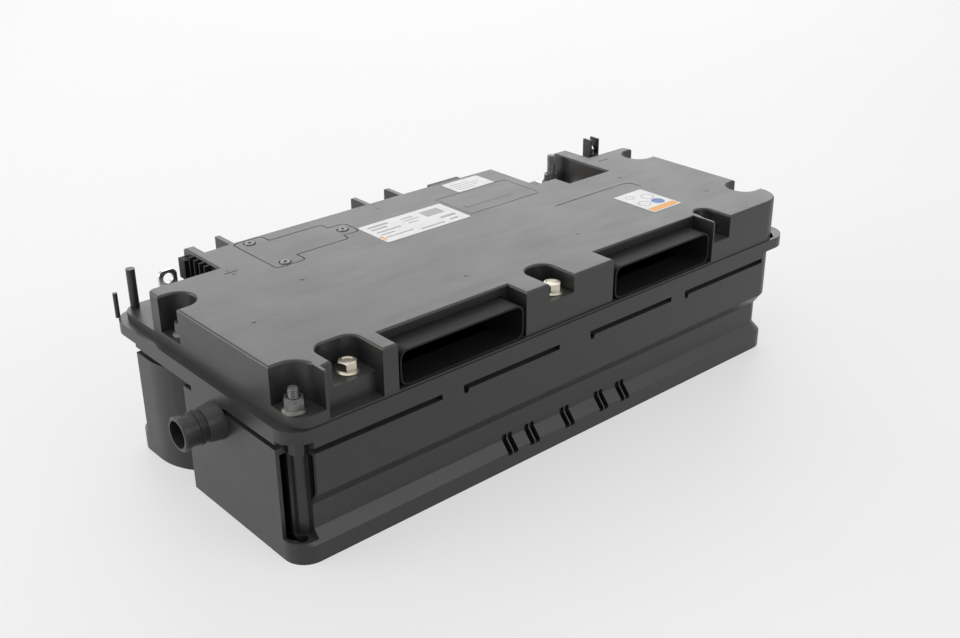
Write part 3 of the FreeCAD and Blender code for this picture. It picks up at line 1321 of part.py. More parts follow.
def make_busbars():
    """The copper links between the cells, the relay, the fuse and the two terminals."""
    (_, low_x, low_level), (_, high_x, high_level) = relay_posts
    thickness = size.busbar_thickness
    small = size.small_clear_hole
    large = size.clear_hole
    reach = size.busbar_width / 2
    half = size.cell_post_spacing / 2
    first = cell_middle(0)
    link = new_body("positive_link")
    add(link, "plate", "Z", low_level, low_level + thickness,
        blocks((low_x - reach, relay_y - reach), (low_x + reach, relay_y - reach),
               (low_x + reach, -half - reach), (first + reach, -half - reach),
               (first + reach, reach - half), (low_x - reach, reach - half)))
    cut(link, "hole", "Z", low_level - 1, low_level + 3, bore(low_x, relay_y, small))

    relay_link = new_body("relay_link")
    reach = size.link_width / 2
    turn_y = left_stud[1] - size.end_notch_half - size.cover_wall - 4
    wide = bus_half
    right_x = fuse_studs[1][0]
    add(relay_link, "plate", "Z", high_level, high_level + size.bus_thickness,
        blocks((high_x - reach, relay_y - reach), (high_x + reach, relay_y - reach),
               (high_x + reach, turn_y - size.link_width), (right_x + wide, turn_y - size.link_width),
               (right_x + wide, fuse_y + wide), (right_x - wide, fuse_y + wide),
               (right_x - wide, turn_y), (high_x - reach, turn_y)))
    cut(relay_link, "holes", "Z", high_level - 1, high_level + 5, bore(high_x, relay_y, small),
        bore(*fuse_studs[1], large))

    positive_bus = new_body("positive_bus")
    left_x = fuse_studs[0][0]
    level = bus_level
    near = dome_rear - size.cover_wall - 3
    end = size.positive_terminal_y + size.bus_thickness
    add(positive_bus, "plate", "Z", level, level + size.bus_thickness,
        blocks((positive_x - bus_half, near - 18), (left_x + wide, near - 18), (left_x + wide, fuse_y + wide),
               (left_x - wide, fuse_y + wide), (left_x - wide, near), (positive_x + bus_half, near),
               (positive_x + bus_half, end), (positive_x - bus_half, end)))
    cut(positive_bus, "fuse_hole", "Z", level - 1, level + 5, bore(*fuse_studs[0], large))
    top = level + size.tab_height
    add(positive_bus, "tab", "Y", size.positive_terminal_y, end,
        rectangle(positive_x - bus_half + 2, positive_x + bus_half - 2, level + 1, top, None, None, 5, 5))
    cut(positive_bus, "tab_hole", "Y", size.positive_terminal_y - 1, end + 1,
        circle(positive_x, top - 7, large))

    last = cell_middle(cells - 1)
    reach = size.busbar_width / 2
    riser = size.riser_y
    negative_link = box("negative_link", last - reach, last + reach, -half - reach,
                        riser + size.bus_thickness, post_top, post_top + thickness)
    negative_bus = new_body("negative_bus")
    back = riser + size.bus_thickness
    high = level + size.bus_thickness
    bay_rear = dome_rear + size.bay_depth
    foot = post_top + thickness
    add(negative_bus, "strip", "X", negative_x - bus_half, negative_x + bus_half,
        path((riser, foot), (back, foot), (back, level), (bay_rear - 2, level), (bay_rear - 2, high),
             (riser, high)))
    cut(negative_bus, "stud_hole", "Z", level - 1, high + 1,
        bore(negative_x, size.terminal_y, large, SHOWN_SIDES))
    return [link, relay_link, positive_bus, negative_link, negative_bus]


def make_fuse():
    """The main fuse on its base, with its studs and nuts."""
    base = new_body("fuse_base")
    x1, x2 = fuse_studs[0][0] - bus_half - 4, fuse_studs[1][0] + bus_half + 4
    y1 = size.cell_post_spacing / 2 + size.busbar_width / 2 + 3
    y2 = rear - size.rim_width + 11
    low = bus_level - size.fuse_base_thickness
    add(base, "deck", "Z", low, bus_level, rectangle(x1, x2, y1, y2))
    add(base, "rear_foot", "Z", deck, low, rectangle(x1, x2, y2 - 9, y2))
    add(base, "front_foot", "Z", cell_top + size.frame_thickness, low, rectangle(x1, x2, y1, y1 + 4))
    stud_low = bus_level - size.fuse_base_thickness + 1
    tight = size.terminal_radius + size.close_fit
    cut(base, "stud_holes", "Z", stud_low, bus_level + 1, *[polygon(x, y, tight) for x, y in fuse_studs])
    blade_low = bus_level + size.bus_thickness
    blade = box("fuse_blade", fuse_studs[0][0] - 9, fuse_studs[1][0] + 9, fuse_y - 8, fuse_y + 8,
                blade_low, blade_low + size.busbar_thickness)
    body = box("fuse_body", fuse_studs[0][0] + bus_half + 1, fuse_studs[1][0] - bus_half - 1,
               fuse_y - 9, fuse_y + 9, bus_level, bus_level + 12)
    whole = fuse("fuse_whole", blade, body)
    room = size.clear_hole / math.cos(math.pi / HIDDEN_SIDES)
    bores = fuse("fuse_bores", *[prism(name, x, y, bus_level, bus_level + 9, room)
                                 for name, x, y in numbered("fuse_bore", fuse_studs)])
    main_fuse = minus("main_fuse", whole, bores)
    studs = [prism(name, x, y, stud_low, bus_level + size.fuse_stud_reach, size.terminal_radius)
             for name, x, y in numbered("fuse_stud", fuse_studs)]
    seat = blade_low + size.busbar_thickness
    nuts = [plain_nut(name, x, y, seat, size.fuse_nut_height, size.bolt_flats, size.terminal_radius)
            for name, x, y in numbered("fuse_nut", fuse_studs)]
    return [base, main_fuse, group("fuse_studs", studs), group("fuse_nuts", nuts)]


def make_terminals():
    """The negative stud with its nut, the relay's nuts, the current sensor and the clip's bolt."""
    x, y = negative_x, size.terminal_y
    seat = bus_level + size.bus_thickness
    free = seat + size.terminal_nut_height + size.bolt_flange / 4
    neck = prism("negative_stud_neck", x, y, bus_level - 5, free, size.terminal_radius, SHOWN_SIDES)
    end = cylinder("negative_stud_end", x, y, free, deck + size.terminal_top, size.terminal_radius)
    nut = flange_nut("negative", x, y, seat, size.terminal_nut_height, size.bolt_flats)
    nut.Label = "negative_nut"
    relay_nuts = [plain_nut(f"relay_{name}", place, relay_y,
                            level + (size.busbar_thickness if name == "low" else size.bus_thickness),
                            size.small_bolt_head, size.small_bolt_flats, size.small_bolt_radius)
                  for name, place, level in relay_posts]
    last = cell_middle(cells - 1)
    reach = size.busbar_width / 2 + 3
    sensor_low = post_top + size.busbar_thickness
    sensor = box("current_sensor", last - reach, last + reach, size.shunt_start, size.shunt_end,
                 sensor_low, sensor_low + size.shunt_height)
    return [fuse("negative_stud", neck, end), nut, group("relay_nuts", relay_nuts), sensor, make_clip_bolt()]


def make_clip_bolt():
    """The bolt between the prongs of the harness clip, with a cap that narrows to its top."""
    body = new_body("clip_bolt")
    x, y = clip_place
    radius = size.clip_width / 2 - size.clip_prong - size.sleeve_fit
    low = skirt_top + size.clip_stem
    cap_top = low + size.small_bolt_flats / 2
    add(body, "shank", "Z", skirt_top + size.clip_stem / 2, low, polygon(x, y, size.small_bolt_radius))
    add(body, "cap", "Z", low, cap_top, polygon(x, y, radius, SHOWN_SIDES))
    taper(body, "dome", "Z", cap_top, polygon(x, y, radius, SHOWN_SIDES), cap_top + radius * 0.8,
          polygon(x, y, radius / 2, SHOWN_SIDES))
    return body


def make_board():
    """The management board under the cover, its components, screws and plug socket."""
    low = board_top - size.board_thickness
    board = new_body("management_board")
    add(board, "plate", "Z", low, board_top, rectangle(board_left, board_left + size.board_length,
                                                       board_front, board_front + size.board_width))
    holes = [polygon(x, y, size.board_screw_radius + size.close_fit) for x, y in board_screws]
    cut(board, "holes", "Z", low - 1, board_top + 1, *holes)
    chips = []
    for row, (side, height) in enumerate(((size.chip_size, size.chip_height),
                                          (size.block_size, size.block_height))):
        for number in range(4):
            x = board_left + size.block_size + size.chip_pitch * number
            y = board_front + size.block_size + size.chip_pitch * row
            chips.append(box(f"chip_{row}_{number}", x, x + side, y, y + side, low - height, low))
    screws = []
    for name, x, y in numbered("board_screw", board_screws):
        head = prism(f"{name}_head", x, y, low - 2, low, 2 * size.board_screw_radius)
        shank = prism(f"{name}_shank", x, y, low - 1, board_top + 6, size.board_screw_radius)
        screws.append(fuse(name, head, shank))
    return [board, group("board_components", chips), group("board_screws", screws), make_socket()]


def make_socket():
    """The plug socket on the board, open to the rear, with two rows of contacts."""
    socket = new_body("signal_socket")
    x1, x2, z1, z2 = socket_edges()
    bay_rear = dome_rear + size.bay_depth
    mouth = bay_rear + size.socket_reach
    add(socket, "shell", "Y", board_front + size.board_width - 14, mouth, rectangle(x1, x2, z1, z2))
    wall = size.sleeve_wall
    cut(socket, "mouth", "Y", bay_rear + 1, mouth + 1, rectangle(x1 + wall, x2 - wall, z1 + wall, z2 - wall))
    pin = size.socket_pin
    pitch_x = size.socket_pitch
    for name, z in (("low_pins", z1 + pitch_x), ("high_pins", z2 - pitch_x - pin)):
        add(socket, name, "Y", bay_rear, mouth - 7,
            *[rectangle(x1 + pitch_x * number, x1 + pitch_x * number + pin, z, z + pin) for number in range(1, 8)])
    return socket


lower_case = make_lower_case()
top_cover = make_top_cover()
SUB_PARTS = [lower_case, top_cover, make_seal(), make_service_cover()]
SUB_PARTS += [make_sleeve(name, start) for name, start in ports]
SUB_PARTS += [make_label(name) for name in ("label_main", "label_rear", "label_side")]
SUB_PARTS += [make_harness_clip()]
SUB_PARTS += make_fasteners()
SUB_PARTS += [make_cell(number) for number in range(cells)]
SUB_PARTS += [make_end_plate("left", stack_left, -1), make_end_plate("right", stack_right, 1)]
SUB_PARTS += make_stack()
SUB_PARTS += [make_busbar_frame(), make_gas_duct(), make_relay()]
SUB_PARTS += make_busbars() + make_fuse() + make_terminals() + make_board()

doc.recompute()
failed = [item.Name for item in doc.Objects if {"Invalid", "Error"} & set(item.State)]
if failed:
    raise RuntimeError(f"failed objects: {failed}")
for part in SUB_PARTS:
    if part.Shape.isNull() or not part.Shape.isValid():
        raise RuntimeError(f"{part.Label} has no valid shape")
os.makedirs("parts", exist_ok=True)
for part in SUB_PARTS:
    part.Shape.exportStep(f"parts/{part.Label}.step")
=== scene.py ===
"""The looks of a mild hybrid battery: finishes, softened edges, fasteners, labels, floor and light.

Everything is in metres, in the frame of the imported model. The file is laid out as an add-on and
is run as a script, which calls every operator once, in order.
"""
import json
import math
import random

import bmesh
import bpy
from mathutils import Matrix, Vector

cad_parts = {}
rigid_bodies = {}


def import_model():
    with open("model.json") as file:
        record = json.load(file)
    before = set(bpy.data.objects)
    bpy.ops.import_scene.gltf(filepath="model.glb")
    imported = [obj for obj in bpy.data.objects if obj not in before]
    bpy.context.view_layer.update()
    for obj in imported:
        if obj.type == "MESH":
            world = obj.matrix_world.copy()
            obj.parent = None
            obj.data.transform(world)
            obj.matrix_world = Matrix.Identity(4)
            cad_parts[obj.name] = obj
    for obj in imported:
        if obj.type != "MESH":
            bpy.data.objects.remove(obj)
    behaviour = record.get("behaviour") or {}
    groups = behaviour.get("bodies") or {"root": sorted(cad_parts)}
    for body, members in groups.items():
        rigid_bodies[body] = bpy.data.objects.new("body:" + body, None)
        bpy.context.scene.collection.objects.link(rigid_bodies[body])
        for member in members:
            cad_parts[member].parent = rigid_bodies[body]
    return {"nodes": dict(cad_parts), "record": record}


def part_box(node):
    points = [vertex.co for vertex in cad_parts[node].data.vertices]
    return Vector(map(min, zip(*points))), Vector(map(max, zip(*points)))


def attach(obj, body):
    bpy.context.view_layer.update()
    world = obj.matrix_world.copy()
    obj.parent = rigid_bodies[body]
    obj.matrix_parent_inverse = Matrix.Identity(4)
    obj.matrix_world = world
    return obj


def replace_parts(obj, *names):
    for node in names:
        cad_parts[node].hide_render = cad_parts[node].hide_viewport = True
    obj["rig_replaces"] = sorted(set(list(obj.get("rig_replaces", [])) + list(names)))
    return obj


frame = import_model()

bl_info = {
    "name": "Mild hybrid battery looks",
    "version": (1, 0, 0),
    "blender": (4, 5, 0),
    "location": "3D View > Sidebar > Battery",
    "description": "Finishes, fasteners, labels and stage for a mild hybrid battery",
    "category": "Object",
}

BODY = "root"
MM = 0.001


# Sizes and colours that a user would change

class MouldingSettings(bpy.types.PropertyGroup):
    """The black moulded plastic of the case and the cover."""

    black: bpy.props.FloatVectorProperty(
        name="Black", description="Colour of clean plastic", subtype="COLOR", size=3,
        default=(0.018, 0.018, 0.019))
    dust: bpy.props.FloatVectorProperty(
        name="Dust", description="Colour of the dust that lies on the plastic", subtype="COLOR", size=3,
        default=(0.23, 0.22, 0.20))
    roughness: bpy.props.FloatProperty(
        name="Roughness", description="Roughness of clean plastic", default=0.36, min=0.0, max=1.0)
    edge: bpy.props.FloatProperty(
        name="Edge", description="Rounding of the moulded edges", default=0.6 * MM, unit="LENGTH")
    top_edge: bpy.props.FloatProperty(
        name="Top edge", description="Rounding round the cover's top", default=1.8 * MM, unit="LENGTH")
    grain: bpy.props.FloatProperty(
        name="Grain", description="Distance between two grains of the surface", default=0.9 * MM,
        unit="LENGTH")


class FastenerSettings(bpy.types.PropertyGroup):
    """The bolts, studs, nuts and screws."""

    zinc: bpy.props.FloatVectorProperty(
        name="Zinc", description="Colour of the pale zinc plating", subtype="COLOR", size=3,
        default=(0.60, 0.57, 0.50))
    dark: bpy.props.FloatVectorProperty(
        name="Dark plating", description="Colour of the dark plating", subtype="COLOR", size=3,
        default=(0.13, 0.13, 0.13))
    flats: bpy.props.FloatProperty(
        name="Flats", description="Width of the hexagons across their flats", default=13 * MM, unit="LENGTH")
    shank: bpy.props.FloatProperty(
        name="Shank", description="Radius of the bolts and studs", default=4 * MM, unit="LENGTH")
    pitch: bpy.props.FloatProperty(
        name="Pitch", description="Pitch of the threads", default=1.25 * MM, unit="LENGTH")
    sides: bpy.props.IntProperty(
        name="Sides", description="Facets round a turned piece", default=72, min=24)


class LabelSettings(bpy.types.PropertyGroup):
    """The adhesive labels."""

    white: bpy.props.FloatVectorProperty(
        name="White", description="Colour of the film", subtype="COLOR", size=3,
        default=(0.78, 0.78, 0.77))
    orange: bpy.props.FloatVectorProperty(
        name="Orange", description="Colour of the plain bands", subtype="COLOR", size=3,
        default=(0.83, 0.36, 0.04))
    blue: bpy.props.FloatVectorProperty(
        name="Blue", description="Colour of the plain disc", subtype="COLOR", size=3,
        default=(0.07, 0.15, 0.42))
    ink: bpy.props.FloatVectorProperty(
        name="Ink", description="Colour of the plain grey fields", subtype="COLOR", size=3,
        default=(0.30, 0.30, 0.32))
    lift: bpy.props.FloatProperty(
        name="Lift", description="Height of the print above the film", default=0.03 * MM, unit="LENGTH")


class StageSettings(bpy.types.PropertyGroup):
    """Camera, floor and light."""

    lens: bpy.props.FloatProperty(
        name="Lens", description="Focal length for a 36 mm wide sensor", default=45.41)
    azimuth: bpy.props.FloatProperty(
        name="Azimuth", description="Heading of the view, from +Y towards +X", subtype="ANGLE",
        default=math.radians(41.326))
    pitch: bpy.props.FloatProperty(
        name="Pitch", description="How far the view looks down", subtype="ANGLE",
        default=math.radians(25.488))
    roll: bpy.props.FloatProperty(
        name="Roll", description="Roll of the view", subtype="ANGLE", default=math.radians(0.42))
    eye: bpy.props.FloatVectorProperty(
        name="Eye", description="Place of the camera", subtype="TRANSLATION", size=3, unit="LENGTH",
        default=(-0.6169, -0.7091, 0.5153))
    floor: bpy.props.FloatVectorProperty(
        name="Floor", description="Colour of the floor", subtype="COLOR", size=3,
        default=(0.83, 0.83, 0.84))
    glow: bpy.props.FloatProperty(
        name="Glow", description="Share of white added to the floor in the view and in reflections",
        default=0.5, min=0.0, max=1.0)
    daylight: bpy.props.FloatProperty(
        name="Daylight", description="Strength of the sky dome", default=0.55, min=0.0)


SETTINGS = {
    "battery_moulding": MouldingSettings,
    "battery_fasteners": FastenerSettings,
    "battery_labels": LabelSettings,
    "battery_stage": StageSettings,
}


# Places and sizes of the small details

# Each small moulding, with its edge rounding as a share of the big mouldings' one
SMALL_MOULDINGS = (
    ("service_cover", 0.35),
    ("harness_clip", 0.6),
    ("signal_socket", 0.5),
    ("air_sleeve_left", 0.55),
    ("air_sleeve_right", 0.55),
)

PRINT_DEPTH = 0.06 * MM

# Print on the labels: left, right, front and back as shares of the label
MAIN_LABEL_PRINT = (
    (0.06, 0.30, 0.80, 0.88), (0.06, 0.24, 0.66, 0.73), (0.06, 0.34, 0.50, 0.56),
    (0.06, 0.22, 0.36, 0.41), (0.06, 0.38, 0.20, 0.25), (0.44, 0.58, 0.78, 0.83),
    (0.44, 0.62, 0.66, 0.70), (0.44, 0.56, 0.52, 0.56), (0.44, 0.72, 0.10, 0.16),
    (0.68, 0.90, 0.56, 0.86), (0.76, 0.94, 0.30, 0.40), (0.80, 0.90, 0.12, 0.20),
)
MAIN_LABEL_MARK = ((0.015, 0.045, 0.14, 0.34),)
SIDE_LABEL_BAND = ((0.04, 0.96, 0.03, 0.19),)
REAR_LABEL_PRINT = (
    (0.10, 0.62, 0.70, 0.74), (0.10, 0.80, 0.52, 0.56), (0.10, 0.70, 0.34, 0.38), (0.10, 0.55, 0.16, 0.20),
)

# Rings and discs on the side label: place, outer and inner radius as shares of the label
SIDE_LABEL_RINGS = ((0.28, 0.42, 0.170, 0.145), (0.72, 0.64, 0.170, 0.145), (0.30, 0.80, 0.120, 0.100))
SIDE_LABEL_DISC = ((0.68, 0.36, 0.175, 0.0),)

# Details on the cover's top, in millimetres from the middle of the case
PLUS_PLACE = (-190.5, 68.8)
MINUS_PLACE = (225.6, 64.8)
PANEL_FRAME = ((32.0, 87.5), (112.5, 87.5), (115.0, 85.0), (115.0, 42.0), (112.5, 39.5), (32.0, 39.5),
               (32.0, 87.5))
SIDE_RIDGE = ((100.4, 4.0), (186.0, 4.0), (191.0, 3.0), (194.0, 0.0), (195.0, -5.0), (195.0, -12.0))
BAR_RIDGE = ((40.0, 56.0), (92.0, 56.0))
MOULDING_DOTS = ((-157.1, 20.0), (-59.7, -59.2), (66.9, -55.8), (199.6, 19.1), (-225.0, -20.0),
                 (230.0, -60.0), (-20.0, 106.0))

# Soft lamps: name, place, width and height, power in watts, colour
LAMPS = (
    ("window", (1.6, 2.0, 1.35), (3.0, 1.3), 25.0, (0.97, 0.98, 1.0)),
    ("front_fill", (0.6, -2.2, 1.2), (2.0, 1.2), 13.0, (1.0, 0.98, 0.94)),
    ("side_fill", (-1.9, 1.2, 0.45), (1.8, 0.8), 26.0, (1.0, 0.93, 0.82)),
    ("ceiling", (-0.6, 0.4, 2.4), (2.4, 2.4), 8.0, (1.0, 1.0, 1.0)),
)
LAMP_TARGET = Vector((0.0, 0.0, 0.09))


# Shader building

# Sockets of a Mix node that mixes colours
FIRST_COLOUR = 6
SECOND_COLOUR = 7
MIXED_COLOUR = 2


class Signal:
    """One socket of a shader tree; arithmetic on it adds Math nodes."""

    def __init__(self, graph, socket):
        self.graph = graph
        self.socket = socket

    def output(self, name):
        """Another output of the same node."""
        return Signal(self.graph, self.socket.node.outputs[name])

    def apply(self, operation, first, second):
        """A Math node on two values, each of them a signal or a number."""
        return self.graph.node("ShaderNodeMath", {"operation": operation}, {0: first, 1: second})

    def __add__(self, other):
        return self.apply("ADD", self, other)

    def __radd__(self, other):
        return self.apply("ADD", other, self)

    def __sub__(self, other):
        return self.apply("SUBTRACT", self, other)

    def __rsub__(self, other):
        return self.apply("SUBTRACT", other, self)

    def __mul__(self, other):
        return self.apply("MULTIPLY", self, other)

    def __rmul__(self, other):
        return self.apply("MULTIPLY", other, self)

    def larger(self, other):
        """The larger of this value and another."""
        return self.apply("MAXIMUM", self, other)

    def swing(self, amount):
        """Noise as a rise and fall, half the amount each way."""
        return amount * (self - 0.5)

    def smooth(self, low, high):
        """0 below low, 1 above high and a smooth step between."""
        return self.graph.node(
            "ShaderNodeMapRange", {"interpolation_type": "SMOOTHSTEP"},
            {"Value": self, "From Min": low, "From Max": high})


class Graph:
    """The nodes of one shader tree, with its output node."""

    def __init__(self, tree, output_kind):
        self.tree = tree
        self.tree.nodes.clear()
        self.end = self.tree.nodes.new(output_kind)

    def node(self, kind, settings=None, inputs=None, output=0):
        """Adds a node: its settings first, then its sockets' values or links; gives one output."""
        node = self.tree.nodes.new(kind)
        for name, value in (settings or {}).items():
            setattr(node, name, value)
        for name, value in (inputs or {}).items():
            self.connect(node.inputs[name], value)
        return Signal(self, node.outputs[output])

    def connect(self, socket, value):
        """Links a signal to a socket, or sets the socket to a value."""
        if isinstance(value, Signal):
            self.tree.links.new(value.socket, socket)
        elif socket.type == "RGBA" and len(value) == 3:
            socket.default_value = (*value, 1.0)
        else:
            socket.default_value = value

    def show(self, shader):
        """Leads a shader to the tree's output."""
        self.connect(self.end.inputs["Surface"], shader)


class Recipe(Graph):
    """The nodes of one material, round a Principled shader."""

    def __init__(self, name, **constants):
        self.material = bpy.data.materials.new(name)
        self.material.use_nodes = True
        super().__init__(self.material.node_tree, "ShaderNodeOutputMaterial")
        self.surface = self.node("ShaderNodeBsdfPrincipled")
        self.show(self.surface)
        self.set(**constants)

    def set(self, **values):
        """Sets sockets of the shader; base_color means Base Color."""
        sockets = self.surface.socket.node.inputs
        for name, value in values.items():
            self.connect(sockets[name.replace("_", " ").title().replace("Ior", "IOR")], value)

    def noise(self, cell, detail, stretch=(1.0, 1.0, 1.0)):
        """Soft noise whose lumps are one cell apart, drawn out by the stretch."""
        scale = tuple(1.0 / (cell * along) for along in stretch)
        place = self.node("ShaderNodeTexCoord", output="Object")
        spot = self.node("ShaderNodeVectorMath", {"operation": "MULTIPLY"}, {0: place, 1: scale})
        return self.node("ShaderNodeTexNoise", {"noise_dimensions": "3D"},
                         {"Vector": spot, "Scale": 1.0, "Detail": detail})

    def blend(self, mask, first, second):
        """The first colour where the mask is 0, the second where it is 1."""
        return self.node("ShaderNodeMix", {"data_type": "RGBA"},
                         {"Factor": mask, FIRST_COLOUR: first, SECOND_COLOUR: second}, output=MIXED_COLOUR)

    def facing_up(self):
        """1 on faces that look up, 0 on walls."""
        normal = self.node("ShaderNodeNewGeometry", output="Normal")
        upright = self.node("ShaderNodeSeparateXYZ", inputs={0: normal}, output="Z")
        return upright.smooth(0.35, 0.9)

    def bump(self, height, depth, strength):
        """Feeds a height to the shader's normal."""
        self.set(normal=self.node("ShaderNodeBump", None,
                                  {"Height": height, "Distance": depth, "Strength": strength}))


def shade(colour, share):
    """A colour made lighter or darker."""
    return tuple(share * part for part in colour)


def moulded_plastic(name, tone=1.0, rougher=0.0, dusty=1.0, ior=1.5):
    """Satin black plastic with a fine grain, flow marks, dust on top and light scuffs."""
    mould = bpy.context.scene.battery_moulding
    film_all_over = 0.05
    film_in_patches = 0.07
    speck_share = 0.20
    scratch_share = 0.07
    rough_specks = 0.25
    recipe = Recipe(name, ior=ior)
    broad = recipe.noise(45 * MM, detail=4.0)
    streaks = recipe.noise(16 * MM, detail=5.0, stretch=(3.0, 0.6, 0.6))
    specks = recipe.noise(1.6 * MM, detail=1.0)
    scratches = recipe.noise(2.2 * MM, detail=2.0, stretch=(9.0, 0.5, 1.0))
    fine = recipe.noise(mould.grain, detail=2.0)
    speck_mask = specks.smooth(0.66, 0.71) * broad.smooth(0.35, 0.7)
    scratch_mask = scratches.smooth(0.72, 0.78) * streaks.smooth(0.5, 0.65)
    film = recipe.facing_up() * (film_all_over + film_in_patches * broad)
    dust_mask = (film + speck_share * speck_mask + scratch_share * scratch_mask) * dusty
    recipe.set(base_color=recipe.blend(dust_mask, shade(mould.black, tone), tuple(mould.dust)))
    recipe.set(roughness=mould.roughness + rougher + broad.swing(0.10) + streaks.swing(0.10)
               + rough_specks * speck_mask)
    recipe.bump(fine + 0.6 * streaks, depth=0.05 * MM, strength=0.35)
    return recipe.material


def plated_steel(name, colour, tint, roughness):
    """Plated steel with a mottled passivation and faint marks."""
    recipe = Recipe(name, metallic=1.0)
    cloud = recipe.noise(4 * MM, detail=4.0)
    fine = recipe.noise(0.5 * MM, detail=3.0)
    recipe.set(base_color=recipe.blend(cloud.smooth(0.3, 0.75), colour, tint))
    recipe.set(roughness=roughness + cloud.swing(0.16) + fine.swing(0.10))
    recipe.bump(fine, depth=0.02 * MM, strength=0.4)
    return recipe.material


def drawn_metal(name, colour, roughness, along):
    """Bare metal with drawn lines; along stretches them in X, Y or Z."""
    recipe = Recipe(name, metallic=1.0)
    lines = recipe.noise(0.7 * MM, detail=3.0, stretch=along)
    cloud = recipe.noise(9 * MM, detail=3.0)
    recipe.set(base_color=recipe.blend(cloud.smooth(0.35, 0.8), colour, shade(colour, 0.82)))
    recipe.set(roughness=roughness + lines.swing(0.18) + cloud.swing(0.08))
    recipe.bump(lines, depth=0.015 * MM, strength=0.4)
    return recipe.material


def soft_rubber(name, colour):
    """Matt rubber or pad."""
    recipe = Recipe(name)
    fine = recipe.noise(0.8 * MM, detail=4.0)
    pale = tuple(min(1.0, 1.5 * part + 0.01) for part in colour)
    recipe.set(base_color=recipe.blend(fine.smooth(0.4, 0.8) * 0.5, colour, pale))
    recipe.set(roughness=0.72 + fine.swing(0.12))
    recipe.bump(fine, depth=0.05 * MM, strength=0.4)
    return recipe.material


def coated(name, colour, roughness, cell=6 * MM, change=0.12):
    """A smooth coat, such as film, ceramic or solder mask, with slight unevenness."""
    recipe = Recipe(name)
    cloud = recipe.noise(cell, detail=4.0)
    fine = recipe.noise(0.6 * MM, detail=2.0)
    recipe.set(base_color=recipe.blend(cloud.smooth(0.35, 0.75), colour, shade(colour, 1.0 - change)))
    recipe.set(roughness=roughness + cloud.swing(0.12))
    recipe.bump(fine + cloud, depth=0.03 * MM, strength=0.25)
    return recipe.material


def finish_table(scene):
    """The function and the values of every finish, by the finish's name."""
    metal = scene.battery_fasteners
    label = scene.battery_labels
    along_x = (8.0, 1.0, 1.0)
    along_z = (1.0, 1.0, 8.0)
    return {
        "case_plastic": (moulded_plastic, {}),
        "cover_plastic": (moulded_plastic, {"tone": 1.15, "rougher": 0.02}),
        # Tone 0.5 and little dust darken the sleeves' colour: painted shade from the recess walls round
        # them.
        "duct_plastic": (moulded_plastic, {"tone": 0.5, "rougher": 0.20, "dusty": 0.10, "ior": 1.28}),
        "clip_plastic": (moulded_plastic, {"tone": 0.8, "dusty": 0.5}),
        "inner_plastic": (moulded_plastic, {"tone": 2.4, "rougher": 0.19, "dusty": 0.2}),
        "zinc_steel": (plated_steel, {
            "colour": tuple(metal.zinc), "tint": (0.55, 0.50, 0.38), "roughness": 0.34}),
        "dark_steel": (plated_steel, {
            "colour": tuple(metal.dark), "tint": (0.20, 0.19, 0.18), "roughness": 0.42}),
        "bright_steel": (plated_steel, {
            "colour": (0.72, 0.71, 0.69), "tint": (0.60, 0.59, 0.57), "roughness": 0.24}),
        "brass": (drawn_metal, {
            "colour": (0.70, 0.52, 0.24), "roughness": 0.30, "along": (1.0, 1.0, 6.0)}),
        "copper": (drawn_metal, {"colour": (0.80, 0.42, 0.25), "roughness": 0.30, "along": along_x}),
        "tinned_copper": (drawn_metal, {"colour": (0.72, 0.71, 0.69), "roughness": 0.26, "along": along_z}),
        "plate_metal": (drawn_metal, {"colour": (0.72, 0.72, 0.73), "roughness": 0.36, "along": along_z}),
        "seal_rubber": (soft_rubber, {"colour": (0.016, 0.016, 0.017)}),
        "pad_rubber": (soft_rubber, {"colour": (0.30, 0.30, 0.32)}),
        "fuse_ceramic": (coated, {"colour": (0.74, 0.72, 0.67), "roughness": 0.45}),
        "cell_can": (coated, {"colour": (0.06, 0.14, 0.32), "roughness": 0.30, "cell": 30 * MM}),
        "board_green": (coated, {"colour": (0.015, 0.13, 0.05), "roughness": 0.28}),
        "label_film": (coated, {
            "colour": tuple(label.white), "roughness": 0.48, "cell": 14 * MM, "change": 0.06}),
        "label_orange": (coated, {
            "colour": tuple(label.orange), "roughness": 0.48, "cell": 9 * MM, "change": 0.08}),
        "label_blue": (coated, {
            "colour": tuple(label.blue), "roughness": 0.48, "cell": 9 * MM, "change": 0.08}),
        "label_ink": (coated, {
            "colour": tuple(label.ink), "roughness": 0.40, "cell": 9 * MM, "change": 0.10}),
    }


class Finishes:
    """The finishes in use, each made when it is first asked for."""

    def __init__(self):
        self.made = {}

    def get(self, name):
        if name not in self.made:
            make, values = finish_table(bpy.context.scene)[name]
            self.made[name] = make(name, **values)
        return self.made[name]


finishes = Finishes()


# Mesh building

def slot_of(node):
    """The record's material slot of a node."""
    return next(entry["material_slot"] for entry in frame["record"]["subparts"] if entry["node"] == node)


def new_piece(name, mesh, slot, finish=None):
    """Puts a mesh in the scene as one piece, in its slot's own finish unless another is named."""
    piece = bpy.data.objects.new(name, mesh)
    bpy.context.scene.collection.objects.link(piece)
    mesh.materials.append(finishes.get(finish or slot))
    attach(piece, BODY)
    return piece


def dress(node):
    """Gives a carried-over solid its finish."""
    piece = frame["nodes"][node]
    slot = slot_of(node)
    if not piece.material_slots:
        piece.data.materials.append(None)
    for holder in piece.material_slots:
        holder.link = "OBJECT"
        holder.material = finishes.get(slot)


def to_mesh(build, name, angle=32.0):
    """Turns a bmesh into a mesh with smooth faces and sharp edges past the angle, in degrees."""
    build.normal_update()
    mesh = bpy.data.meshes.new(name)
    build.to_mesh(mesh)
    build.free()
    mesh.polygons.foreach_set("use_smooth", [True] * len(mesh.polygons))
    mesh.set_sharp_from_angle(angle=math.radians(angle))
    return mesh


def sharp_edges(build, angle):
    """The edges whose two faces meet at more than an angle, in degrees."""
    return [edge for edge in build.edges
            if len(edge.link_faces) == 2 and edge.calc_face_angle(0.0) > math.radians(angle)]


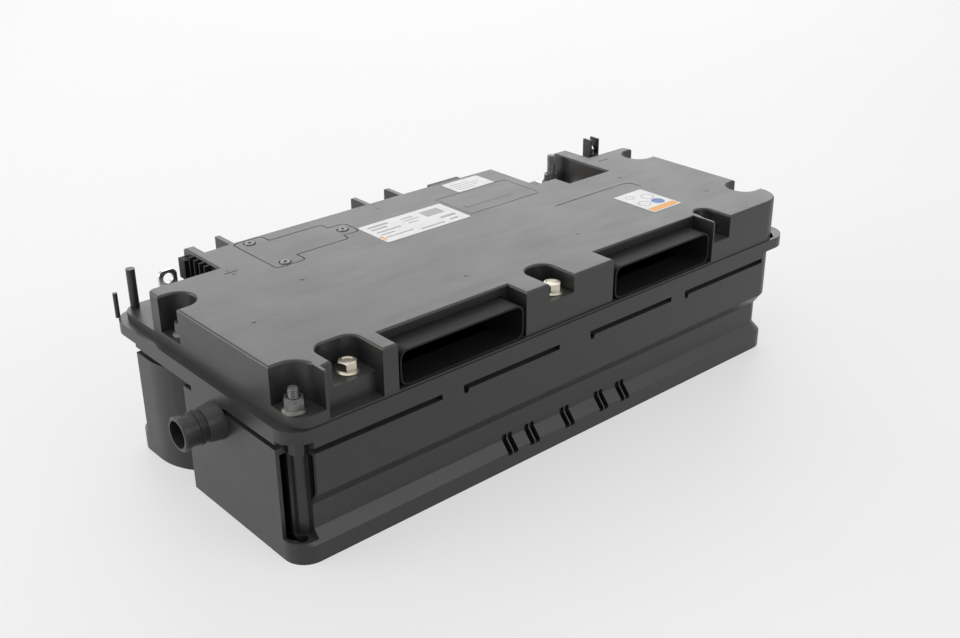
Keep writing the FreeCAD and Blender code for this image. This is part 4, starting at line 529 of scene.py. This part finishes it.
def gap_to_segment(spot, start, end):
    """Distance from a point to a straight edge."""
    along = end - start
    share = max(0.0, min(1.0, (spot - start).dot(along) / max(along.length_squared, 1e-12)))
    return (spot - start - share * along).length


def top_rim(build):
    """Convex edges at the level of the cover's top, apart from the seat of the service cover.

    Each comes with its wall's normal and its two ends.
    """
    low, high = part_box("service_cover")
    margin = 3 * MM
    level_error = 0.01 * MM
    rim = []
    for edge in sharp_edges(build, 60.0):
        if max(abs(vert.co.z - high.z) for vert in edge.verts) > level_error or not edge.is_convex:
            continue
        middle = (edge.verts[0].co + edge.verts[1].co) / 2
        if low.x - margin < middle.x < high.x + margin and low.y - margin < middle.y:
            continue
        wall = min(edge.link_faces, key=lambda face: abs(face.normal.z))
        rim.append((edge, wall.normal.copy(), edge.verts[0].co.copy(), edge.verts[1].co.copy()))
    return rim


def roomy_top_edges(build, room):
    """The rim's edges with room for their rounding, which the two edges of a thin wall don't have."""
    facing_away = -0.3
    rim = top_rim(build)
    thin = set()
    for index, (edge, normal, start, end) in enumerate(rim):
        for other, other_normal, other_start, other_end in rim[index + 1:]:
            if normal.dot(other_normal) > facing_away:
                continue
            gaps = [gap_to_segment(spot, other_start, other_end) for spot in (start, end)]
            gaps += [gap_to_segment(spot, start, end) for spot in (other_start, other_end)]
            if min(gaps) < room:
                thin.update((edge, other))
    return [edge for edge, *_ in rim if edge not in thin]


def round_off(build, edges, width, segments, clamp=True):
    """Rounds the given edges off."""
    bmesh.ops.bevel(build, geom=edges, offset=width, offset_type="OFFSET", segments=segments, profile=0.5,
                    affect="EDGES", clamp_overlap=clamp, miter_outer="ARC", loop_slide=True)


def soften(node, width, top_width=0.0):
    """Stands in for a moulded node with the same solid, its sharp edges rounded off."""
    weld = 0.004 * MM
    flat_angle = 0.4
    sharp_angle = 25.0
    shading_angle = 40.0
    rim_room = 2.6 * top_width
    build = bmesh.new()
    build.from_mesh(frame["nodes"][node].data)
    bmesh.ops.remove_doubles(build, verts=build.verts, dist=weld)
    bmesh.ops.dissolve_limit(build, angle_limit=math.radians(flat_angle), verts=build.verts,
                             edges=build.edges)
    if top_width:
        round_off(build, roomy_top_edges(build, rim_room), top_width, segments=4, clamp=False)
    round_off(build, sharp_edges(build, sharp_angle), width, segments=2)
    bmesh.ops.triangulate(build, faces=[face for face in build.faces if len(face.verts) > 4])
    piece = new_piece(f"{node}_moulding", to_mesh(build, f"{node}_soft", shading_angle), slot_of(node))
    shading = piece.modifiers.new("even_shading", "WEIGHTED_NORMAL")
    shading.keep_sharp = True
    shading.weight = 90
    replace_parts(piece, node)


def upright_middle(low, high):
    """The foot of the upright line through the middle of a box."""
    return Vector(((low.x + high.x) / 2, (low.y + high.y) / 2, 0.0))


def turns(sides):
    """Evenly spread angles, once round."""
    return [2 * math.pi * step / sides for step in range(sides)]


def point(build, centre, radius, turn, height):
    """A new vertex at an angle round an upright line."""
    return build.verts.new(centre + Vector((radius * math.cos(turn), radius * math.sin(turn), height)))


def circle(build, centre, radius, height, sides):
    """A ring of points round an upright line."""
    return [point(build, centre, radius, turn, height) for turn in turns(sides)]


def skin(build, rings):
    """Joins each ring of points to the next with faces. All rings have as many points."""
    for first, second in zip(rings, rings[1:]):
        for step in range(len(first)):
            after = (step + 1) % len(first)
            build.faces.new([first[step], first[after], second[after], second[step]])


def close_ends(build, rings):
    """Closes the first and the last ring with a face each."""
    build.faces.new(list(reversed(rings[0])))
    build.faces.new(rings[-1])


def lathe(build, centre, profile, sides):
    """Turns a profile of radius and height round an upright line; radius 0 closes an end."""
    rings = []
    for radius, height in profile:
        if radius < 1e-9:
            rings.append([point(build, centre, 0.0, 0.0, height)])
        else:
            rings.append(circle(build, centre, radius, height, sides))
    for low, high in zip(rings, rings[1:]):
        for step in range(sides):
            after = (step + 1) % sides
            corners = [low[step % len(low)], low[after % len(low)], high[after % len(high)],
                       high[step % len(high)]]
            corners = list(dict.fromkeys(corners))
            if len(corners) > 2:
                build.faces.new(corners)


def hex_radius(across_flats, turn):
    """Distance from the middle of a hexagon to its edge in a direction."""
    sector = (turn + math.pi / 6) % (math.pi / 3) - math.pi / 6
    return across_flats / 2 / math.cos(sector)


def hex_head(build, centre, across_flats, low, high, twist, sides, dish=0.0, bore=0.0):
    """A chamfered hexagon, dished on top or open round a stud."""
    crown = 0.97 * across_flats / 2
    chamfer = math.tan(math.radians(30))

    def hexagon(height, slope):
        """A hexagonal ring that falls by the slope outside the crown."""
        ring = []
        for turn in turns(sides):
            radius = hex_radius(across_flats, turn)
            drop = slope * max(0.0, radius - crown)
            ring.append(point(build, centre, radius, turn + twist, height - drop))
        return ring

    def round_ring(radius, height):
        """A round ring, its points in line with the hexagon's."""
        return [point(build, centre, radius, turn + twist, height) for turn in turns(sides)]

    if bore:
        # A countersunk mouth and the bore
        inside = ((1.18 * bore, high), (bore, high - 0.18 * bore), (bore, low))
    else:
        # A flat rim and a shallow dish
        inside = ((0.80 * crown, high), (0.70 * crown, high - dish), (0.10 * crown, high - dish))
    rings = [hexagon(low, 0.0), hexagon(high, chamfer), round_ring(crown, high)]
    rings += [round_ring(radius, height) for radius, height in inside]
    skin(build, rings)
    if not bore:
        close_ends(build, rings)


def thread(build, centre, radius, pitch, low, high, sides=36):
    """A threaded rod with a rounded tip, its ridge a true helix."""
    depth = 0.54 * pitch
    tip_length = 0.8 * pitch
    tip_taper = 0.35 * pitch
    levels_per_pitch = 4
    levels = int((high - low) / pitch * levels_per_pitch)
    rings = []
    for level in range(levels + 1):
        height = low + (high - low) * level / levels
        fade = min(1.0, (high - height) / tip_length)
        ring = []
        for step, turn in enumerate(turns(sides)):
            phase = (height / pitch - step / sides) % 1.0
            ridge = abs(2 * phase - 1)
            reach = radius - depth * (1 - ridge) - tip_taper * (1 - fade)
            ring.append(point(build, centre, reach, turn, height))
        rings.append(ring)
    skin(build, rings)
    close_ends(build, rings)


def flange(inner, outer, neck, seat, levels, shoulder):
    """Profile of a flange: flat below, a straight rim, a shoulder and a cone up to the neck."""
    ease = 0.2 * MM
    rim_low, rim_high, cone, top = (seat + level for level in levels)
    return [(inner, seat), (outer - ease, seat), (outer, rim_low), (outer, rim_high),
            (outer - shoulder, cone), (neck, top), (inner, top)]


def flanged_nut(build, low, high, metal, twist):
    """A flanged nut between the corners of its box, open round its stud."""
    centre = upright_middle(low, high)
    bore = metal.shank + 0.05 * MM
    levels = (0.3 * MM, 1.0 * MM, 1.5 * MM, 2.8 * MM)
    profile = flange(bore, (high.x - low.x) / 2, 0.54 * metal.flats, low.z, levels, 0.5 * MM)
    lathe(build, centre, profile + profile[:1], metal.sides)
    hex_head(build, centre, metal.flats, low.z + 1.4 * MM, high.z, twist, metal.sides, bore=bore)


def slab(build, low, high, corner=0.0):
    """A flat plate between two corners of its box, with its upright edges rounded."""
    steps = 5
    places = ((high.x, high.y, 1, 1), (low.x, high.y, -1, 1), (low.x, low.y, -1, -1), (high.x, low.y, 1, -1))
    outline = []
    for quarter, (x, y, side_x, side_y) in enumerate(places):
        if not corner:
            outline.append((x, y))
            continue
        for step in range(steps + 1):
            turn = math.pi / 2 * (quarter + step / steps)
            outline.append((x + corner * (math.cos(turn) - side_x), y + corner * (math.sin(turn) - side_y)))
    rings = [[build.verts.new((x, y, z)) for x, y in outline] for z in (low.z, high.z)]
    skin(build, rings)
    close_ends(build, rings)


def islands(node):
    """Lowest and highest corner of each separate solid in a node, from left to right."""
    build = bmesh.new()
    build.from_mesh(frame["nodes"][node].data)
    bmesh.ops.remove_doubles(build, verts=build.verts, dist=0.001 * MM)
    seen = set()
    found = []
    for start in build.verts:
        if start in seen:
            continue
        seen.add(start)
        waiting = [start]
        spots = []
        while waiting:
            vert = waiting.pop()
            spots.append(vert.co.copy())
            for edge in vert.link_edges:
                other = edge.other_vert(vert)
                if other not in seen:
                    seen.add(other)
                    waiting.append(other)
        found.append((Vector(min(spot[axis] for spot in spots) for axis in range(3)),
                      Vector(max(spot[axis] for spot in spots) for axis in range(3))))
    build.free()
    return sorted(found, key=lambda pair: (round(pair[0].x, 4), round(pair[0].y, 4)))


# Operators

class BATTERY_OT_mouldings(bpy.types.Operator):
    """Rounds the edges of the case, the cover and the other plastic pieces that show"""
    bl_idname = "battery.mouldings"
    bl_label = "Mouldings"

    def execute(self, context):
        mould = context.scene.battery_moulding
        soften("lower_case", mould.edge)
        soften("top_cover", mould.edge, top_width=mould.top_edge)
        for node, share in SMALL_MOULDINGS:
            soften(node, share * mould.edge)
        return {"FINISHED"}


class BATTERY_OT_bolts(bpy.types.Operator):
    """Makes the flanged bolts of the cover"""
    bl_idname = "battery.bolts"
    bl_label = "Cover bolts"

    def execute(self, context):
        metal = context.scene.battery_fasteners
        chance = random.Random(7)
        for node in ("front_cover_bolts", "rear_cover_bolts"):
            build = bmesh.new()
            for low, high in islands(node):
                self.add_bolt(build, low, high, metal, twist=chance.uniform(0, 1))
            piece = new_piece(f"{node}_made", to_mesh(build, node), "zinc_steel")
            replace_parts(piece, node)
        return {"FINISHED"}

    @staticmethod
    def add_bolt(build, low, high, metal, twist):
        """A flanged bolt between the corners of its box: flange, hexagon, thread and plain shank."""
        centre = upright_middle(low, high)
        reach = (high.x - low.x) / 2
        seat = high.z - 8.4 * MM
        levels = (0.25 * MM, 0.8 * MM, 1.2 * MM, 2.2 * MM)
        thread_end = seat - 6 * MM
        shank_low = thread_end - 0.2 * MM
        shank = [(0, shank_low), (metal.shank, shank_low), (metal.shank, seat), (0, seat)]
        lathe(build, centre, flange(0.55 * reach, reach, 0.76 * reach, seat, levels, 0.4 * MM), metal.sides)
        hex_head(build, centre, metal.flats, seat + levels[2], high.z, twist, metal.sides, dish=0.7 * MM)
        thread(build, centre, metal.shank, metal.pitch, low.z, thread_end)
        lathe(build, centre, shank, 36)


class BATTERY_OT_end_studs(bpy.types.Operator):
    """Makes the studs and flanged nuts in the notches of the cover's ends"""
    bl_idname = "battery.end_studs"
    bl_label = "End studs and nuts"

    def execute(self, context):
        metal = context.scene.battery_fasteners
        chance = random.Random(11)
        studs = bmesh.new()
        for low, high in islands("end_studs"):
            thread(studs, upright_middle(low, high), metal.shank, metal.pitch, low.z, high.z)
        piece = new_piece("end_studs_made", to_mesh(studs, "end_studs"), "dark_steel")
        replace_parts(piece, "end_studs")
        nuts = bmesh.new()
        for low, high in islands("end_nuts"):
            flanged_nut(nuts, low, high, metal, twist=chance.uniform(0, 1))
        piece = new_piece("end_nuts_made", to_mesh(nuts, "end_nuts"), "zinc_steel", "dark_steel")
        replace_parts(piece, "end_nuts")
        return {"FINISHED"}


class BATTERY_OT_terminal(bpy.types.Operator):
    """Makes the negative stud and its nut"""
    bl_idname = "battery.terminal"
    bl_label = "Negative terminal"

    def execute(self, context):
        metal = context.scene.battery_fasteners
        low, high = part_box("negative_stud")
        build = bmesh.new()
        thread(build, upright_middle(low, high), metal.shank, metal.pitch, low.z, high.z, sides=48)
        piece = new_piece("negative_stud_made", to_mesh(build, "negative_stud"), "dark_steel")
        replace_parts(piece, "negative_stud")
        low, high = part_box("negative_nut")
        build = bmesh.new()
        flanged_nut(build, low, high, metal, twist=0.3)
        piece = new_piece("negative_nut_made", to_mesh(build, "negative_nut"), "dark_steel")
        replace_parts(piece, "negative_nut")
        return {"FINISHED"}


class BATTERY_OT_service_screws(bpy.types.Operator):
    """Makes the three small screws of the service cover, each with a six-lobed socket"""
    bl_idname = "battery.service_screws"
    bl_label = "Service cover screws"

    def execute(self, context):
        sides = context.scene.battery_fasteners.sides
        build = bmesh.new()
        for low, high in islands("service_screws"):
            self.add_screw(build, low, high, sides)
        piece = new_piece("service_screws_made", to_mesh(build, "service_screws"), "dark_steel")
        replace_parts(piece, "service_screws")
        return {"FINISHED"}

    @staticmethod
    def add_screw(build, low, high, sides):
        """A screw between the corners of its box: shank, rounded head and a six-lobed recess."""
        centre = upright_middle(low, high)
        head = (high.x - low.x) / 2
        shank = 1.95 * MM
        seat = high.z - 1.8 * MM
        top = high.z - 0.02 * MM
        face = 0.75 * head
        socket_mouth = 0.52 * face
        socket_floor = 0.47 * face
        socket_depth = 1.1 * MM
        wave = 0.13
        lathe(build, centre, [
            (0, low.z), (shank, low.z), (shank, seat), (head - 0.1 * MM, seat), (head, seat + 0.2 * MM),
            (head, high.z - 0.6 * MM), (head - 0.25 * MM, high.z - 0.2 * MM), (face, top)], sides)

        def lobes(height, size):
            """A ring with six waves."""
            return [point(build, centre, size * (1.0 + wave * math.cos(6 * turn)), turn, height)
                    for turn in turns(sides)]

        recess = lobes(top - socket_depth, socket_floor)
        skin(build, [circle(build, centre, face, top, sides), lobes(top, socket_mouth), recess])
        build.faces.new(recess)


class BATTERY_OT_labels(bpy.types.Operator):
    """Makes the labels: white film with plain grey, orange and blue fields"""
    bl_idname = "battery.labels"
    bl_label = "Labels"

    def execute(self, context):
        lift = Vector((0.0, 0.0, context.scene.battery_labels.lift))
        for node in ("label_main", "label_rear", "label_side"):
            low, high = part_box(node)
            build = bmesh.new()
            slab(build, low, high - lift, corner=1.5 * MM)
            piece = new_piece(f"{node}_film", to_mesh(build, node), "label_film")
            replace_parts(piece, node)
        self.add_fields("label_main_fields", "label_main", "label_ink", MAIN_LABEL_PRINT)
        self.add_fields("label_main_mark", "label_main", "label_orange", MAIN_LABEL_MARK)
        self.add_fields("label_side_band", "label_side", "label_orange", SIDE_LABEL_BAND)
        self.add_discs("label_side_rings", "label_side", "label_ink", SIDE_LABEL_RINGS)
        self.add_discs("label_side_disc", "label_side", "label_blue", SIDE_LABEL_DISC)
        self.add_fields("label_rear_fields", "label_rear", "label_ink", REAR_LABEL_PRINT)
        return {"FINISHED"}

    @staticmethod
    def add_fields(name, node, finish, fields):
        """Plain rectangles of print on a label."""
        low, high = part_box(node)
        size = high - low
        build = bmesh.new()
        for left, right, front, back in fields:
            start = Vector((low.x + left * size.x, low.y + front * size.y, high.z - PRINT_DEPTH))
            end = Vector((low.x + right * size.x, low.y + back * size.y, high.z))
            slab(build, start, end)
        new_piece(name, to_mesh(build, name), "label_film", finish)

    @staticmethod
    def add_discs(name, node, finish, discs):
        """Plain rings of print on a label, and discs where the inner radius is 0."""
        low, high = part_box(node)
        size = high - low
        bottom = high.z - PRINT_DEPTH
        build = bmesh.new()
        for across, up, outer, inner in discs:
            centre = Vector((low.x + across * size.x, low.y + up * size.y, 0.0))
            profile = [(inner * size.x, bottom), (outer * size.x, bottom), (outer * size.x, high.z),
                       (inner * size.x, high.z)]
            if inner:
                profile.append(profile[0])
            lathe(build, centre, profile, 40)
        new_piece(name, to_mesh(build, name), "label_film", finish)


class BATTERY_OT_marks(bpy.types.Operator):
    """Adds the raised plus and minus marks by the terminals, ridges, moulding dots and a comb of ribs"""
    bl_idname = "battery.marks"
    bl_label = "Moulded marks"

    def execute(self, context):
        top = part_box("service_cover")[1].z
        self.add_signs(top)
        self.add_ridges(top)
        self.add_dots(top)
        self.add_comb(top)
        return {"FINISHED"}

    @classmethod
    def add_signs(cls, top):
        """A plus, whose upright is two bars that stop at its level one, and a minus."""
        arm = 5.5
        half = 0.8
        rise = 0.3
        build = bmesh.new()
        x, y = PLUS_PLACE
        cls.ridge(build, ((x - arm, y), (x + arm, y)), top, half, rise)
        for side in (-1, 1):
            cls.ridge(build, ((x, y + side * half), (x, y + side * arm)), top, half, rise)
        x, y = MINUS_PLACE
        cls.ridge(build, ((x - arm, y), (x + arm, y)), top, half, rise)
        new_piece("terminal_marks", to_mesh(build, "terminal_marks"), "cover_plastic")

    @classmethod
    def add_ridges(cls, top):
        """The frame round the panel, the ridge beside it and the flat bar in it."""
        build = bmesh.new()
        cls.ridge(build, PANEL_FRAME, top, half=0.35, rise=0.22)
        cls.ridge(build, SIDE_RIDGE, top, half=0.45, rise=0.3)
        cls.ridge(build, BAR_RIDGE, top, half=3.2, rise=0.2)
        new_piece("cover_ridges", to_mesh(build, "cover_ridges"), "cover_plastic")

    @staticmethod
    def ridge(build, line, top, half, rise):
        """A low ridge with sloping sides along a line of places on the cover's top, in millimetres."""
        root = -0.05
        crest = 0.7
        spots = [Vector((x, y, 0.0)) for x, y in line]
        closed = spots[0] == spots[-1]
        rings = []
        for index, spot in enumerate(spots):
            before = spots[max(index - 1, 0)]
            after = spots[min(index + 1, len(spots) - 1)]
            if closed and index in (0, len(spots) - 1):
                before, after = spots[-2], spots[1]
            arriving = (spot - before).normalized() if spot != before else (after - spot).normalized()
            leaving = (after - spot).normalized() if after != spot else arriving
            along = (arriving + leaving).normalized()
            side = Vector((-along.y, along.x, 0.0)) / max(0.5, along.dot(leaving))
            ring = []
            for share, level in ((-1.0, root), (-crest, rise), (crest, rise), (1.0, root)):
                place = (spot + share * half * side) * MM
                ring.append(build.verts.new((place.x, place.y, top + level * MM)))
            rings.append(ring)
        skin(build, rings)
        if not closed:
            close_ends(build, rings)
        bmesh.ops.recalc_face_normals(build, faces=build.faces)

    @staticmethod
    def add_dots(top):
        """The round marks that ejector pins leave."""
        build = bmesh.new()
        root = top - 0.1 * MM
        crest = top + 0.22 * MM
        profile = [(0, root), (2.0 * MM, root), (2.0 * MM, top + 0.12 * MM), (1.6 * MM, crest), (0, crest)]
        for x, y in MOULDING_DOTS:
            lathe(build, Vector((x, y, 0.0)) * MM, profile, 32)
        new_piece("moulding_dots", to_mesh(build, "moulding_dots"), "cover_plastic")

    @staticmethod
    def add_comb(top):
        """Ribs and a small block on the outer side of the wall by the positive terminal."""
        wall = -193.2 * MM
        bottom = top - 22 * MM
        rib_top = top - 1.5 * MM
        rib_reach = 5.5 * MM
        rib_thickness = 1.8 * MM
        rib_places = (95 * MM, 103 * MM, 111 * MM, 119 * MM)
        block_top = top - 5 * MM
        block_reach = 7.7 * MM
        block_front = 124 * MM
        block_rear = 134 * MM
        build = bmesh.new()
        for y in rib_places:
            slab(build, Vector((wall - rib_reach, y, bottom)), Vector((wall, y + rib_thickness, rib_top)))
        slab(build, Vector((wall - block_reach, block_front, bottom)), Vector((wall, block_rear, block_top)))
        # The comb takes the duct finish, whose darker tone is painted shade.
        new_piece("terminal_comb", to_mesh(build, "terminal_comb"), "cover_plastic", "duct_plastic")


class BATTERY_OT_inside(bpy.types.Operator):
    """Dresses every solid that is kept as it is, such as the cells, busbars and seals"""
    bl_idname = "battery.inside"
    bl_label = "Inner pieces"

    def execute(self, context):
        replaced = set()
        for piece in bpy.data.objects:
            replaced.update(piece.get("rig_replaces", []))
        for node in frame["nodes"]:
            if node not in replaced:
                dress(node)
        return {"FINISHED"}


class BATTERY_OT_stage(bpy.types.Operator):
    """Sets up the camera, a pale floor, the sky dome and soft lamps"""
    bl_idname = "battery.stage"
    bl_label = "Stage"

    def execute(self, context):
        settings = context.scene.battery_stage
        self.add_camera(context, settings)
        self.add_floor(context, settings)
        self.add_sky(context, settings)
        for name, place, size, power, colour in LAMPS:
            self.add_lamp(context, name, place, size, power, colour)
        context.scene.view_settings.view_transform = "Standard"
        return {"FINISHED"}

    @staticmethod
    def add_camera(context, settings):
        """A camera from its place, heading, pitch and roll."""
        heading, pitch, roll = settings.azimuth, settings.pitch, settings.roll
        forward = Vector((math.sin(heading) * math.cos(pitch), math.cos(heading) * math.cos(pitch),
                          -math.sin(pitch)))
        right = Vector((math.cos(heading), -math.sin(heading), 0.0))
        down = forward.cross(right)
        rolled_right = math.cos(roll) * right + math.sin(roll) * down
        rolled_down = -math.sin(roll) * right + math.cos(roll) * down
        axes = Matrix((rolled_right, -rolled_down, -forward)).transposed().to_4x4()
        data = bpy.data.cameras.new("photo_camera")
        data.lens = settings.lens
        data.sensor_width = 36.0
        data.clip_end = 50.0
        camera = bpy.data.objects.new("photo_camera", data)
        camera.matrix_world = Matrix.Translation(Vector(settings.eye)) @ axes
        context.scene.collection.objects.link(camera)
        context.scene.camera = camera

    @staticmethod
    def add_floor(context, settings):
        """A wide flat floor, lifted towards white in the camera's view and in reflections."""
        reach = 6.0
        recipe = Recipe("floor_paint", roughness=0.55)
        cloud = recipe.noise(cell=0.35, detail=3.0)
        pale = tuple(settings.floor)
        recipe.set(base_color=recipe.blend(cloud.smooth(0.3, 0.8), pale, shade(pale, 0.98)))
        rays = recipe.node("ShaderNodeLightPath", output="Is Camera Ray")
        seen = rays.larger(rays.output("Is Glossy Ray"))
        white = recipe.node("ShaderNodeEmission", None, {"Color": (1.0, 1.0, 1.0), "Strength": 1.0})
        recipe.show(recipe.node("ShaderNodeMixShader", None,
                                {0: seen * settings.glow, 1: recipe.surface, 2: white}))
        build = bmesh.new()
        corners = ((-reach, -reach), (reach, -reach), (reach, reach), (-reach, reach))
        build.faces.new([build.verts.new((x, y, 0.0)) for x, y in corners])
        mesh = bpy.data.meshes.new("floor")
        build.to_mesh(mesh)
        build.free()
        mesh.materials.append(recipe.material)
        floor = bpy.data.objects.new("floor", mesh)
        context.scene.collection.objects.link(floor)

    @staticmethod
    def add_sky(context, settings):
        """A pale dome that is white to the camera and in reflections, and softer as a light."""
        world = bpy.data.worlds.new("sky")
        world.use_nodes = True
        sky = Graph(world.node_tree, "ShaderNodeOutputWorld")
        light = sky.node("ShaderNodeBackground", None,
                         {"Color": (0.97, 0.98, 1.0), "Strength": settings.daylight})
        white = sky.node("ShaderNodeBackground", None, {"Color": (0.93, 0.93, 0.94), "Strength": 1.0})
        rays = sky.node("ShaderNodeLightPath", output="Is Camera Ray")
        seen = rays.larger(rays.output("Is Glossy Ray"))
        sky.show(sky.node("ShaderNodeMixShader", None, {0: seen, 1: light, 2: white}))
        context.scene.world = world

    @staticmethod
    def add_lamp(context, name, place, size, power, colour):
        """A large soft rectangle that points at the battery."""
        data = bpy.data.lights.new(name, "AREA")
        data.shape = "RECTANGLE"
        data.size, data.size_y = size
        data.energy = power
        data.color = colour
        lamp = bpy.data.objects.new(name, data)
        lamp.location = place
        lamp.rotation_euler = (LAMP_TARGET - Vector(place)).to_track_quat("-Z", "Y").to_euler()
        context.scene.collection.objects.link(lamp)


class BATTERY_PT_sidebar(bpy.types.Panel):
    """Lists the settings and operators of the battery"""
    bl_label = "Battery"
    bl_idname = "BATTERY_PT_sidebar"
    bl_space_type = "VIEW_3D"
    bl_region_type = "UI"
    bl_category = "Battery"

    def draw(self, context):
        layout = self.layout
        for name, kind in SETTINGS.items():
            box = layout.box()
            settings = getattr(context.scene, name)
            for key in kind.__annotations__:
                box.prop(settings, key)
        for operator in OPERATORS:
            layout.operator(operator.bl_idname)


OPERATORS = (
    BATTERY_OT_mouldings,
    BATTERY_OT_bolts,
    BATTERY_OT_end_studs,
    BATTERY_OT_terminal,
    BATTERY_OT_service_screws,
    BATTERY_OT_labels,
    BATTERY_OT_marks,
    BATTERY_OT_inside,
    BATTERY_OT_stage,
)


def register():
    for kind in (*SETTINGS.values(), *OPERATORS, BATTERY_PT_sidebar):
        bpy.utils.register_class(kind)
    for name, kind in SETTINGS.items():
        setattr(bpy.types.Scene, name, bpy.props.PointerProperty(type=kind))


def unregister():
    for name in SETTINGS:
        delattr(bpy.types.Scene, name)
    for kind in reversed((*SETTINGS.values(), *OPERATORS, BATTERY_PT_sidebar)):
        bpy.utils.unregister_class(kind)


def main():
    """Builds the whole scene."""
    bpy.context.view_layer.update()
    register()
    for operator in OPERATORS:
        family, name = operator.bl_idname.split(".")
        getattr(getattr(bpy.ops, family), name)()
    bpy.context.view_layer.update()


if __name__ == "__main__":
    main()
